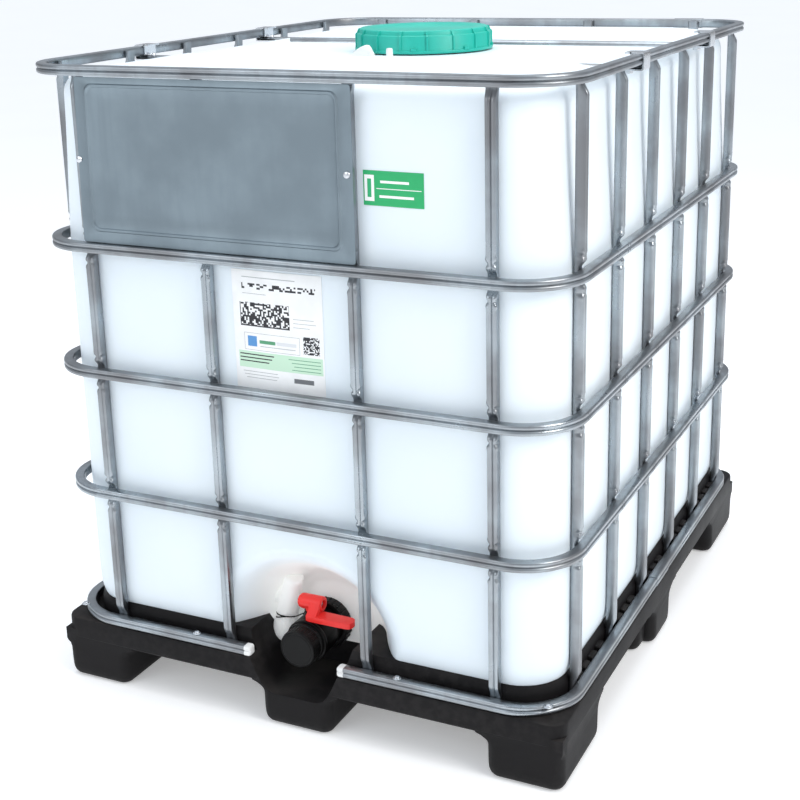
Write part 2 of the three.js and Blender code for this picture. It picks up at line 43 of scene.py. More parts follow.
HALF_X, HALF_Y = 500.0, 600.0
HOOP_CORNER = 108.0
TUBE_DEEP, TUBE_HIGH = 18.0, 17.5
BOTTLE_X, BOTTLE_Y, BOTTLE_CORNER = 472.0, 571.5, 87.0
BOTTLE_FLOOR, BOTTLE_TOP = 112.0, 1140.0
OUTLET_Z = 149.5
STEM_Y = -519.0


# ---------------------------------------------------------------- camera, light, floor

def set_camera():
    """The camera first, because everything else is judged through it."""
    eye = bpy.data.cameras.new("camera")
    eye.sensor_width = 36.0
    eye.lens = 63.118
    eye.shift_x = -0.0011
    eye.shift_y = -0.0758
    camera = bpy.data.objects.new("camera", eye)
    bpy.context.scene.collection.objects.link(camera)
    yaw, pitch, roll = 0.4540, 0.2863, -0.0251
    ahead = Vector((-math.sin(yaw) * math.cos(pitch), math.cos(yaw) * math.cos(pitch), -math.sin(pitch)))
    right = Vector((math.cos(yaw), math.sin(yaw), 0.0))
    up = right.cross(ahead)
    right_rolled = math.cos(roll) * right + math.sin(roll) * up
    up_rolled = -math.sin(roll) * right + math.cos(roll) * up
    turn = Matrix((right_rolled, up_rolled, -ahead)).transposed().to_4x4()
    camera.matrix_world = Matrix.Translation((1.1494, -2.4887, 1.3680)) @ turn
    bpy.context.scene.camera = camera


def area_light(name, place, target, size, power, colour):
    lamp = bpy.data.lights.new(name, "AREA")
    lamp.shape = "RECTANGLE"
    lamp.size, lamp.size_y = size
    lamp.energy = power
    lamp.color = colour
    obj = bpy.data.objects.new(name, lamp)
    bpy.context.scene.collection.objects.link(obj)
    obj.location = place
    obj.rotation_euler = (Vector(target) - Vector(place)).to_track_quat("-Z", "Y").to_euler()


def set_light():
    area_light("key", (3.4, -1.2, 3.0), (0, 0, 0.6), (1.8, 1.8), 78, (1.0, 0.97, 0.93))
    area_light("front_fill", (-1.6, -3.6, 2.2), (0, 0, 0.6), (2.6, 2.0), 27, (0.95, 0.98, 1.0))
    area_light("overhead", (0.0, 0.2, 3.4), (0, 0, 1.0), (2.6, 2.6), 46, (0.97, 0.99, 1.0))
    world = bpy.data.worlds.new("studio")
    bpy.context.scene.world = world
    world.use_nodes = True
    tree = world.node_tree
    tree.nodes.clear()
    out = tree.nodes.new("ShaderNodeOutputWorld")
    seen = tree.nodes.new("ShaderNodeBackground")
    seen.inputs["Color"].default_value = (1, 1, 1, 1)
    seen.inputs["Strength"].default_value = 1.0
    soft = tree.nodes.new("ShaderNodeBackground")
    soft.inputs["Strength"].default_value = 0.80
    where = tree.nodes.new("ShaderNodeTexCoord")
    split = tree.nodes.new("ShaderNodeSeparateXYZ")
    band = tree.nodes.new("ShaderNodeValToRGB")
    stops = band.color_ramp.elements
    stops[0].position = 0.0
    stops[0].color = (0.20, 0.19, 0.18, 1)
    stops[1].position = 1.0
    stops[1].color = (0.96, 1.04, 1.14, 1)
    for place, tone in ((0.50, (0.30, 0.28, 0.27, 1)), (0.56, (0.52, 0.55, 0.60, 1)),
                        (0.72, (0.74, 0.79, 0.86, 1))):
        stop = stops.new(place)
        stop.color = tone
    half = tree.nodes.new("ShaderNodeMath")
    half.operation = "MULTIPLY_ADD"
    half.inputs[1].default_value = 0.5
    half.inputs[2].default_value = 0.5
    ray = tree.nodes.new("ShaderNodeLightPath")
    mix = tree.nodes.new("ShaderNodeMixShader")
    link = tree.links.new
    link(where.outputs["Generated"], split.inputs[0])
    link(split.outputs["Z"], half.inputs[0])
    link(half.outputs[0], band.inputs["Fac"])
    link(band.outputs["Color"], soft.inputs["Color"])
    link(ray.outputs["Is Camera Ray"], mix.inputs["Fac"])
    link(soft.outputs[0], mix.inputs[1])
    link(seen.outputs[0], mix.inputs[2])
    link(mix.outputs[0], out.inputs["Surface"])
    bpy.context.scene.view_settings.view_transform = "Standard"


# ---------------------------------------------------------------- shader groups

def new_group(name, inputs, outputs):
    """A shader group with named sockets: (name, kind, default)."""
    tree = bpy.data.node_groups.new(name, "ShaderNodeTree")
    for label, kind, value in inputs:
        socket = tree.interface.new_socket(label, in_out="INPUT", socket_type=kind)
        if value is not None:
            socket.default_value = value
    for label, kind in outputs:
        tree.interface.new_socket(label, in_out="OUTPUT", socket_type=kind)
    start = tree.nodes.new("NodeGroupInput")
    end = tree.nodes.new("NodeGroupOutput")
    return tree, start, end


def math_node(tree, operation, first, second, clamp=False):
    node = tree.nodes.new("ShaderNodeMath")
    node.operation = operation
    node.use_clamp = clamp
    for socket, value in zip(node.inputs, (first, second)):
        if isinstance(value, (int, float)):
            socket.default_value = value
        elif value is not None:
            tree.links.new(value, socket)
    return node.outputs[0]


def mix_colour(tree, factor, first, second, blend="MIX"):
    node = tree.nodes.new("ShaderNodeMix")
    node.data_type = "RGBA"
    node.blend_type = blend
    node.clamp_factor = True
    pairs = ((node.inputs["Factor"], factor), (node.inputs[6], first), (node.inputs[7], second))
    for socket, value in pairs:
        if isinstance(value, (int, float)):
            socket.default_value = value
        elif isinstance(value, tuple):
            socket.default_value = (*value, 1.0) if len(value) == 3 else value
        else:
            tree.links.new(value, socket)
    return node.outputs[2]


def noise(tree, vector, scale, detail=3.0, stretch=None):
    node = tree.nodes.new("ShaderNodeTexNoise")
    node.inputs["Scale"].default_value = scale
    node.inputs["Detail"].default_value = detail
    if stretch:
        mapping = tree.nodes.new("ShaderNodeMapping")
        mapping.inputs["Scale"].default_value = stretch
        tree.links.new(vector, mapping.inputs["Vector"])
        vector = mapping.outputs[0]
    tree.links.new(vector, node.inputs["Vector"])
    return node.outputs["Fac"]


def ramp(tree, value, low, high):
    node = tree.nodes.new("ShaderNodeMapRange")
    node.interpolation_type = "SMOOTHSTEP"
    node.inputs["From Min"].default_value = low
    node.inputs["From Max"].default_value = high
    tree.links.new(value, node.inputs["Value"])
    return node.outputs[0]


def make_mottle_group():
    """Cloudy two-tone colour with fine grain: the base of every finish."""
    tree, start, end = new_group(
        "mottle",
        [
            ("Place", "NodeSocketVector", None),
            ("Light Tone", "NodeSocketColor", (0.8, 0.8, 0.8, 1)),
            ("Dark Tone", "NodeSocketColor", (0.6, 0.6, 0.6, 1)),
            ("Cloud Scale", "NodeSocketFloat", 6.0),
            ("Grain Scale", "NodeSocketFloat", 300.0),
        ],
        [("Color", "NodeSocketColor"), ("Cloud", "NodeSocketFloat"), ("Grain", "NodeSocketFloat")],
    )
    cloud = tree.nodes.new("ShaderNodeTexNoise")
    cloud.inputs["Detail"].default_value = 4.0
    grain = tree.nodes.new("ShaderNodeTexNoise")
    grain.inputs["Detail"].default_value = 2.0
    link = tree.links.new
    link(start.outputs["Place"], cloud.inputs["Vector"])
    link(start.outputs["Cloud Scale"], cloud.inputs["Scale"])
    link(start.outputs["Place"], grain.inputs["Vector"])
    link(start.outputs["Grain Scale"], grain.inputs["Scale"])
    share = ramp(tree, cloud.outputs["Fac"], 0.32, 0.68)
    tone = mix_colour(tree, share, start.outputs["Light Tone"], start.outputs["Dark Tone"])
    link(tone, end.inputs["Color"])
    link(cloud.outputs["Fac"], end.inputs["Cloud"])
    link(grain.outputs["Fac"], end.inputs["Grain"])
    return tree


def make_dust_group():
    """Dust that settles on what faces up, in patches."""
    tree, start, end = new_group(
        "settled_dust",
        [
            ("Place", "NodeSocketVector", None),
            ("Color", "NodeSocketColor", (0.5, 0.5, 0.5, 1)),
            ("Dust Tone", "NodeSocketColor", (0.35, 0.31, 0.27, 1)),
            ("Amount", "NodeSocketFloat", 0.4),
        ],
        [("Color", "NodeSocketColor"), ("Mask", "NodeSocketFloat")],
    )
    facing = tree.nodes.new("ShaderNodeNewGeometry")
    split = tree.nodes.new("ShaderNodeSeparateXYZ")
    link = tree.links.new
    link(facing.outputs["Normal"], split.inputs[0])
    up = ramp(tree, split.outputs["Z"], 0.1, 0.95)
    patch = ramp(tree, noise(tree, start.outputs["Place"], 14.0, 5.0), 0.35, 0.7)
    mask = math_node(tree, "MULTIPLY", up, patch)
    mask = math_node(tree, "MULTIPLY", mask, start.outputs["Amount"])
    link(mix_colour(tree, mask, start.outputs["Color"], start.outputs["Dust Tone"]), end.inputs["Color"])
    link(mask, end.inputs["Mask"])
    return tree


def make_wear_group():
    """Rubbed patches along edges, from the curvature of the surface."""
    tree, start, end = new_group(
        "edge_wear",
        [
            ("Place", "NodeSocketVector", None),
            ("Color", "NodeSocketColor", (0.1, 0.1, 0.1, 1)),
            ("Worn Tone", "NodeSocketColor", (0.3, 0.3, 0.3, 1)),
            ("Amount", "NodeSocketFloat", 0.5),
        ],
        [("Color", "NodeSocketColor"), ("Mask", "NodeSocketFloat")],
    )
    shape = tree.nodes.new("ShaderNodeNewGeometry")
    edge = ramp(tree, shape.outputs["Pointiness"], 0.505, 0.56)
    breakup = ramp(tree, noise(tree, start.outputs["Place"], 60.0, 5.0), 0.38, 0.62)
    mask = math_node(tree, "MULTIPLY", edge, breakup)
    mask = math_node(tree, "MULTIPLY", mask, start.outputs["Amount"])
    link = tree.links.new
    link(mix_colour(tree, mask, start.outputs["Color"], start.outputs["Worn Tone"]), end.inputs["Color"])
    link(mask, end.inputs["Mask"])
    return tree


GROUPS = {}


def place_group(tree, name, **values):
    node = tree.nodes.new("ShaderNodeGroup")
    node.node_tree = GROUPS[name]
    for label, value in values.items():
        socket = node.inputs[label.replace("_", " ")]
        if isinstance(value, (int, float)):
            socket.default_value = value
        elif isinstance(value, tuple):
            socket.default_value = (*value, 1.0)
        else:
            tree.links.new(value, socket)
    return node


def new_material(name, roughness, metallic=0.0):
    material = bpy.data.materials.new(name)
    material.use_nodes = True
    tree = material.node_tree
    shader = tree.nodes["Principled BSDF"]
    shader.inputs["Roughness"].default_value = roughness
    shader.inputs["Metallic"].default_value = metallic
    place = tree.nodes.new("ShaderNodeTexCoord").outputs["Object"]
    return material, tree, shader, place


def add_bump(tree, shader, height, strength, distance):
    bump = tree.nodes.new("ShaderNodeBump")
    bump.inputs["Strength"].default_value = strength
    bump.inputs["Distance"].default_value = distance
    tree.links.new(height, bump.inputs["Height"])
    tree.links.new(bump.outputs[0], shader.inputs["Normal"])


def rough_between(tree, shader, value, low, high):
    node = tree.nodes.new("ShaderNodeMapRange")
    node.inputs["From Min"].default_value = 0.3
    node.inputs["From Max"].default_value = 0.7
    node.inputs["To Min"].default_value = low
    node.inputs["To Max"].default_value = high
    tree.links.new(value, node.inputs["Value"])
    tree.links.new(node.outputs[0], shader.inputs["Roughness"])


def galvanised(name, light, dark, low=0.24, high=0.42):
    """Galvanised tube: cloudy zinc, faint spangle and drawn streaks."""
    material, tree, shader, place = new_material(name, 0.3, 1.0)
    base = place_group(tree, "mottle", Place=place, Light_Tone=light, Dark_Tone=dark, Cloud_Scale=9.0,
                       Grain_Scale=420.0)
    streak = noise(tree, place, 90.0, 3.0, (1.0, 1.0, 0.08))
    tone = mix_colour(tree, math_node(tree, "MULTIPLY", ramp(tree, streak, 0.45, 0.75), 0.35),
                      base.outputs["Color"], dark)
    tree.links.new(tone, shader.inputs["Base Color"])
    rough_between(tree, shader, base.outputs["Cloud"], low, high)
    add_bump(tree, shader, base.outputs["Grain"], 0.12, 0.0006)
    return material


def moulded(name, light, dark, low, high, grain=520.0, bump=0.2, dust=0.0, wear=0.0, worn=(0.2, 0.19, 0.18),
            gloss=0.5):
    """Moulded plastic: two close tones, fine grain, and wear and dust where asked."""
    material, tree, shader, place = new_material(name, low)
    base = place_group(tree, "mottle", Place=place, Light_Tone=light, Dark_Tone=dark, Cloud_Scale=5.0,
                       Grain_Scale=grain)
    colour = base.outputs["Color"]
    if wear:
        colour = place_group(tree, "edge_wear", Place=place, Color=colour, Worn_Tone=worn,
                             Amount=wear).outputs["Color"]
    if dust:
        colour = place_group(tree, "settled_dust", Place=place, Color=colour, Amount=dust).outputs["Color"]
    tree.links.new(colour, shader.inputs["Base Color"])
    rough_between(tree, shader, base.outputs["Cloud"], low, high)
    add_bump(tree, shader, base.outputs["Grain"], bump, 0.0008)
    shader.inputs["Specular IOR Level"].default_value = gloss
    return material


def bottle_material():
    """Natural polyethylene: milky, a little blue on the walls; in the valve recess a painted warm shade tint
    and a painted glow for light through the thin wall.
    """
    material, tree, shader, place = new_material("natural_polyethylene", 0.4)
    base = place_group(
        tree, "mottle", Place=place, Light_Tone=(0.83, 0.90, 0.95), Dark_Tone=(0.80, 0.88, 0.94),
        Cloud_Scale=2.2, Grain_Scale=160.0,
    )
    split = tree.nodes.new("ShaderNodeSeparateXYZ")
    tree.links.new(place, split.inputs[0])
    centre = tree.nodes.new("ShaderNodeVectorMath")
    centre.operation = "DISTANCE"
    centre.inputs[1].default_value = (0.016, -0.50, 0.19)
    tree.links.new(place, centre.inputs[0])
    # Recess mask: painted warm shade tint, plus a painted emission glow standing in for light through the thin
    # wall.
    inside = math_node(tree, "SUBTRACT", 1.0, ramp(tree, centre.outputs["Value"], 0.10, 0.17))
    painted_recess_shade = mix_colour(tree, inside, base.outputs["Color"], (0.86, 0.85, 0.82))
    tree.links.new(painted_recess_shade, shader.inputs["Base Color"])
    painted_recess_glow = mix_colour(tree, inside, (0.0, 0.0, 0.0), (0.80, 0.83, 0.84))
    tree.links.new(painted_recess_glow, shader.inputs["Emission Color"])
    shader.inputs["Emission Strength"].default_value = 0.22
    rough_between(tree, shader, base.outputs["Cloud"], 0.36, 0.46)
    wave = noise(tree, place, 7.0, 2.0)
    add_bump(tree, shader, wave, 0.25, 0.004)
    shader.inputs["Subsurface Weight"].default_value = 0.12
    shader.inputs["Subsurface Radius"].default_value = (0.02, 0.022, 0.025)
    shader.inputs["Subsurface Scale"].default_value = 1.0
    return material


def rectangle_mask(tree, across, up, left, right, low, high):
    """1 inside the box given in metres, 0 outside."""
    edges = (
        math_node(tree, "GREATER_THAN", across, left),
        math_node(tree, "LESS_THAN", across, right),
        math_node(tree, "GREATER_THAN", up, low),
        math_node(tree, "LESS_THAN", up, high),
    )
    value = edges[0]
    for edge in edges[1:]:
        value = math_node(tree, "MULTIPLY", value, edge)
    return value


def printed(name, ground, marks, roughness):
    """A printed label: a ground colour with plain blocks and bars on it, in millimetres."""
    material, tree, shader, place = new_material(name, roughness)
    split = tree.nodes.new("ShaderNodeSeparateXYZ")
    tree.links.new(place, split.inputs[0])
    across, up = split.outputs["X"], split.outputs["Z"]
    colour = place_group(
        tree, "mottle", Place=place, Light_Tone=ground, Dark_Tone=tuple(0.94 * c for c in ground),
        Cloud_Scale=30.0, Grain_Scale=700.0,
    ).outputs["Color"]
    for (left, right, low, high), tone, checks in marks:
        mask = rectangle_mask(tree, across, up, left * MM, right * MM, low * MM, high * MM)
        if checks:
            cells = tree.nodes.new("ShaderNodeTexWhiteNoise")
            snap = tree.nodes.new("ShaderNodeVectorMath")
            snap.operation = "SNAP"
            snap.inputs[1].default_value = (checks * MM, 1.0, checks * MM)
            tree.links.new(place, snap.inputs[0])
            tree.links.new(snap.outputs[0], cells.inputs["Vector"])
            mask = math_node(tree, "MULTIPLY", mask, math_node(tree, "GREATER_THAN", cells.outputs["Value"],
                                                               0.45))
        colour = mix_colour(tree, mask, colour, tone)
    tree.links.new(colour, shader.inputs["Base Color"])
    return material


# ---------------------------------------------------------------- mesh helpers

def piece(name, verts, faces, material, body="container", nodes=(), slot=None, fix_normals=True, smooth=35.0):
    """A finished piece: millimetres in, one object at the origin out."""
    mesh = bpy.data.meshes.new(name)
    mesh.from_pydata([(x * MM, y * MM, z * MM) for x, y, z in verts], [], faces)
    return finish_mesh(name, mesh, material, body, nodes, fix_normals, smooth)


def finish_mesh(name, mesh, material, body="container", nodes=(), fix_normals=True, smooth=35.0):
    work = bmesh.new()
    work.from_mesh(mesh)
    bmesh.ops.remove_doubles(work, verts=work.verts, dist=1e-6)
    if fix_normals:
        bmesh.ops.recalc_face_normals(work, faces=work.faces)
    work.to_mesh(mesh)
    work.free()
    mesh.shade_smooth()
    if smooth < 180.0:
        mesh.set_sharp_from_angle(angle=math.radians(smooth))
    mesh.materials.clear()
    mesh.materials.append(material)
    obj = bpy.data.objects.new(name, mesh)
    bpy.context.scene.collection.objects.link(obj)
    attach(obj, body)
    if nodes:
        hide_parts(*nodes)
    return obj


def loft(rings, closed_rings=True, loop=False, cap_start=False, cap_end=False):
    """Quads between rings of equal length; loop joins the last ring to the first."""
    count = len(rings[0])
    verts = [point for ring in rings for point in ring]
    faces = []
    last = len(rings) if loop else len(rings) - 1
    span = count if closed_rings else count - 1
    for i in range(last):
        a, b = i * count, ((i + 1) % len(rings)) * count
        for j in range(span):
            k = (j + 1) % count
            faces.append((a + j, a + k, b + k, b + j))
    if cap_start:
        faces.append(tuple(reversed(range(count))))
    if cap_end:
        base = (len(rings) - 1) * count
        faces.append(tuple(range(base, base + count)))
    return verts, faces


def merge(parts):
    verts, faces = [], []
    for part_verts, part_faces in parts:
        shift = len(verts)
        verts += part_verts
        faces += [tuple(i + shift for i in face) for face in part_faces]
    return verts, faces


def smoothstep(low, high, value):
    t = min(1.0, max(0.0, (value - low) / (high - low)))
    return t * t * (3.0 - 2.0 * t)


def outline(half_x, half_y, corner, arc_steps=14, straight=1e9):
    """A rounded rectangle seen from above: (x, y, normal x, normal y), anticlockwise from the front centre."""
    points = []
    a, b = half_x - corner, half_y - corner

    def run(x0, y0, x1, y1, nx, ny):
        length = math.hypot(x1 - x0, y1 - y0)
        steps = max(1, int(length / straight))
        for i in range(steps):
            t = i / steps
            points.append((x0 + (x1 - x0) * t, y0 + (y1 - y0) * t, nx, ny))

    def arc(cx, cy, start):
        for i in range(arc_steps):
            angle = math.radians(start + 90.0 * i / arc_steps)
            nx, ny = math.cos(angle), math.sin(angle)
            points.append((cx + corner * nx, cy + corner * ny, nx, ny))

    run(0, -half_y, a, -half_y, 0, -1)
    arc(a, -b, -90)
    run(half_x, -b, half_x, b, 1, 0)
    arc(a, b, 0)
    run(a, half_y, -a, half_y, 0, 1)
    arc(-a, b, 90)
    run(-half_x, b, -half_x, -b, -1, 0)
    arc(-a, -b, 180)
    run(-a, -half_y, 0, -half_y, 0, -1)
    return points


def turned(profile, segments=64, centre=(0.0, 0.0, 0.0), axis="z", cap=True):
    """A profile of (radius, height) turned round an axis; height runs along +Z or -Y."""
    rings = []
    for radius, height in profile:
        ring = []
        for i in range(segments):
            angle = 2 * math.pi * i / segments
            u, v = max(radius, 1e-4) * math.cos(angle), max(radius, 1e-4) * math.sin(angle)
            if axis == "z":
                ring.append((centre[0] + u, centre[1] + v, centre[2] + height))
            else:
                ring.append((centre[0] + u, centre[1] - height, centre[2] + v))
        rings.append(ring)
    return loft(rings, cap_start=cap, cap_end=cap)


def block(x0, x1, y0, y1, z0, z1):
    verts = [(x, y, z) for z in (z0, z1) for x, y in ((x0, y0), (x1, y0), (x1, y1), (x0, y1))]
    faces = [(3, 2, 1, 0), (4, 5, 6, 7), (0, 1, 5, 4), (1, 2, 6, 5), (2, 3, 7, 6), (3, 0, 4, 7)]
    return verts, faces


def soft_edges(obj, width, segments=3, angle=30.0):
    """Rounds the hard edges of a finished piece and applies it."""
    bevel = obj.modifiers.new("soft_edges", "BEVEL")
    bevel.width = width * MM
    bevel.segments = segments
    bevel.limit_method = "ANGLE"
    bevel.angle_limit = math.radians(angle)
    bevel.harden_normals = False
    bake_modifiers(obj)
    obj.data.shade_smooth()
    obj.data.set_sharp_from_angle(angle=math.radians(40))


def bake_modifiers(obj):
    depsgraph = bpy.context.evaluated_depsgraph_get()
    mesh = bpy.data.meshes.new_from_object(obj.evaluated_get(depsgraph))
    obj.modifiers.clear()
    old = obj.data
    obj.data = mesh
    mesh.name = old.name


def fuse(name, solids, tools=()):
    """Joins closed shapes into one and cuts the tools out of it, exactly."""
    def raw(label, shape):
        mesh = bpy.data.meshes.new(label)
        mesh.from_pydata([(x * MM, y * MM, z * MM) for x, y, z in shape[0]], [], shape[1])
        work = bmesh.new()
        work.from_mesh(mesh)
        bmesh.ops.remove_doubles(work, verts=work.verts, dist=1e-6)
        bmesh.ops.recalc_face_normals(work, faces=work.faces)
        work.to_mesh(mesh)
        work.free()
        obj = bpy.data.objects.new(label, mesh)
        bpy.context.scene.collection.objects.link(obj)
        return obj

    body = raw(name, solids[0])
    helpers = []
    for i, (shape, operation) in enumerate([(s, "UNION") for s in solids[1:]]
                                           + [(t, "DIFFERENCE") for t in tools]):
        helper = raw(f"{name}_helper_{i}", shape)
        helpers.append(helper)
        modifier = body.modifiers.new(f"step_{i}", "BOOLEAN")
        modifier.operation = operation
        modifier.solver = "EXACT"
        modifier.object = helper
    bpy.context.view_layer.update()
    depsgraph = bpy.context.evaluated_depsgraph_get()
    mesh = bpy.data.meshes.new_from_object(body.evaluated_get(depsgraph))
    for obj in helpers + [body]:
        bpy.data.objects.remove(obj)
    work = bmesh.new()
    work.from_mesh(mesh)
    bmesh.ops.remove_doubles(work, verts=work.verts, dist=2e-5)
    bmesh.ops.dissolve_limit(work, angle_limit=math.radians(1.0), verts=work.verts, edges=work.edges)
    work.to_mesh(mesh)
    work.free()
    return mesh


# ---------------------------------------------------------------- geometry nodes for repeated shapes

def repeat_tree(name, material):
    """Puts a copy of one shape at every point, turned by each point's own angle, as one mesh."""
    tree = bpy.data.node_groups.new(name, "GeometryNodeTree")
    tree.interface.new_socket("Points", in_out="INPUT", socket_type="NodeSocketGeometry")
    tree.interface.new_socket("Shape", in_out="INPUT", socket_type="NodeSocketObject")
    size = tree.interface.new_socket("Size", in_out="INPUT", socket_type="NodeSocketFloat")
    size.default_value = 1.0
    tree.interface.new_socket("Geometry", in_out="OUTPUT", socket_type="NodeSocketGeometry")
    nodes, link = tree.nodes, tree.links.new
    start, end = nodes.new("NodeGroupInput"), nodes.new("NodeGroupOutput")
    source = nodes.new("GeometryNodeObjectInfo")
    turn = nodes.new("GeometryNodeInputNamedAttribute")
    turn.data_type = "FLOAT_VECTOR"
    turn.inputs["Name"].default_value = "turn"
    spin = nodes.new("FunctionNodeEulerToRotation")
    copies = nodes.new("GeometryNodeInstanceOnPoints")
    solid = nodes.new("GeometryNodeRealizeInstances")
    paint = nodes.new("GeometryNodeSetMaterial")
    paint.inputs["Material"].default_value = material
    link(start.outputs["Shape"], source.inputs["Object"])
    link(start.outputs["Points"], copies.inputs["Points"])
    link(source.outputs["Geometry"], copies.inputs["Instance"])
    link(turn.outputs["Attribute"], spin.inputs["Euler"])
    link(spin.outputs["Rotation"], copies.inputs["Rotation"])
    link(start.outputs["Size"], copies.inputs["Scale"])
    link(copies.outputs["Instances"], solid.inputs["Geometry"])
    link(solid.outputs["Geometry"], paint.inputs["Geometry"])
    link(paint.outputs["Geometry"], end.inputs["Geometry"])
    return tree


def repeat(name, shape, places, material, body="container", nodes=(), smooth=40.0):
    """One mesh made of a shape repeated at (x, y, z, turn about X, Y, Z in degrees)."""
    pattern = bpy.data.meshes.new(f"{name}_shape")
    pattern.from_pydata([(x * MM, y * MM, z * MM) for x, y, z in shape[0]], [], shape[1])
    work = bmesh.new()
    work.from_mesh(pattern)
    bmesh.ops.remove_doubles(work, verts=work.verts, dist=1e-6)
    bmesh.ops.recalc_face_normals(work, faces=work.faces)
    work.to_mesh(pattern)
    work.free()
    pattern_obj = bpy.data.objects.new(f"{name}_shape", pattern)
    bpy.context.scene.collection.objects.link(pattern_obj)
    points = bpy.data.meshes.new(f"{name}_points")
    points.from_pydata([(p[0] * MM, p[1] * MM, p[2] * MM) for p in places], [], [])
    turns = points.attributes.new("turn", "FLOAT_VECTOR", "POINT")
    for item, p in zip(turns.data, places):
        item.vector = tuple(math.radians(a) for a in p[3:6])
    carrier = bpy.data.objects.new(f"{name}_points", points)
    bpy.context.scene.collection.objects.link(carrier)
    tree = repeat_tree(f"{name}_copies", material)
    modifier = carrier.modifiers.new("copies", "NODES")
    modifier.node_group = tree
    for item in tree.interface.items_tree:
        if item.item_type == "SOCKET" and item.in_out == "INPUT" and item.name == "Shape":
            modifier[item.identifier] = pattern_obj
    bpy.context.view_layer.update()
    depsgraph = bpy.context.evaluated_depsgraph_get()
    mesh = bpy.data.meshes.new_from_object(carrier.evaluated_get(depsgraph))
    bpy.data.objects.remove(carrier)
    bpy.data.objects.remove(pattern_obj)
    return finish_mesh(name, mesh, material, body, nodes, fix_normals=False, smooth=smooth)


# ---------------------------------------------------------------- cage

HOOPS = {"base": 135.0, "lower": 391.0, "middle": 621.0, "upper": 849.5, "top": 1151.25}
FRONT_POSTS = (-375.0, -138.0, 138.0, 375.0)
SIDE_POSTS = (-485.0, -288.0, -97.0, 97.0, 288.0, 485.0)
BASE_OPENING = 100.0


def tube_section(grow=0.0):
    """Half-open V along the outer face, small radii at the corners: (depth, height) pairs."""
    upper = [(2.9, 0.0), (1.5, 1.1), (0.45, 2.2), (0.0, 3.4), (0.0, 5.4), (0.35, 7.0), (1.3, 8.2),
             (2.9, 8.75)]
    upper += [(9.0, 8.75), (15.0, 8.75), (16.7, 8.2), (17.6, 7.0), (18.0, 5.4), (18.0, 0.0)]
    lower = [(d, -h) for d, h in reversed(upper[1:-1])]
    ring = upper + lower
    if grow:
        ring = [(9 + (d - 9) * (1 + grow / 9), h * (1 + grow / 8.75)) for d, h in ring]
    return ring


def swept_hoop(level, path, section, closed=True):
    rings = [[(x - nx * d, y - ny * d, level + h) for d, h in section] for x, y, nx, ny in path]
    return loft(rings, loop=closed, cap_start=not closed, cap_end=not closed)


def hoops(steel, white):
    path = outline(HALF_X, HALF_Y, HOOP_CORNER, 18, 120.0)
    for name, level in HOOPS.items():
        if name == "base":
            open_path = [p for p in path if not (p[1] < -HALF_Y + 1 and abs(p[0]) < BASE_OPENING + 5)]
            split = next(i for i, p in enumerate(open_path) if p[0] > 0 and p[1] < -HALF_Y + 1)
            open_path = open_path[split:] + open_path[:split]
            ends = ((BASE_OPENING, -HALF_Y, 0, -1), (-BASE_OPENING, -HALF_Y, 0, -1))
            shape = swept_hoop(level, [ends[0]] + open_path + [ends[1]], tube_section(), closed=False)
        else:
            shape = swept_hoop(level, path, tube_section())
        piece(f"hoop_{name}_tube", *shape, steel, nodes=[f"hoop_{name}"], slot="cage_steel", smooth=30)
    for side, word in ((-1, "left"), (1, "right")):
        edge = side * (BASE_OPENING - 0.3)
        rings = []
        for step, inset in ((0.0, 0.0), (9.0, 0.0), (11.6, 1.0), (12.7, 3.0)):
            x = edge - side * step
            section = tube_section(0.25)
            rings.append([(x, -HALF_Y + 9 + (d - 9) * (1 - inset / 9), HOOPS["base"] + h * (1 - inset / 8.75))
                          for d, h in section])
        piece(f"tube_plug_{word}", *loft(rings, cap_start=True, cap_end=True), white,
              nodes=[f"hoop_end_{word}"], slot="white_plastic", smooth=30)


def rail_sleeves(steel):
    """Joints where a hoop's two ends meet inside a slightly wider sleeve."""
    spots = (
        ("base_right", "base", [(HALF_X, y, 1, 0) for y in (-52.0, 28.0)]),
        ("top_rear", "top", [(x, HALF_Y, 0, 1) for x in (392.0, 330.0)]),
    )
    for name, hoop, path in spots:
        outer = [[(x - nx * d, y - ny * d, HOOPS[hoop] + h) for d, h in tube_section(0.9)] for x, y, nx,
                 ny in path]
        piece(f"tube_sleeve_{name}", *loft(outer, cap_start=True, cap_end=True), steel, slot="cage_steel",
              smooth=30)


def post_depth(z):
    """How far the front of an upright sits behind the hoop's outer face at height z."""
    pressed = 0.0
    for level in (HOOPS["lower"], HOOPS["middle"], HOOPS["upper"]):
        pressed = max(pressed, 1.0 - smoothstep(9.6, 24.0, abs(z - level)))
    pressed = max(pressed, smoothstep(HOOPS["top"] - 30.0, HOOPS["top"] - 10.0, z))
    pressed = max(pressed, 1.0 - smoothstep(HOOPS["base"] + 9.0, HOOPS["base"] + 32.0, z))
    return pressed


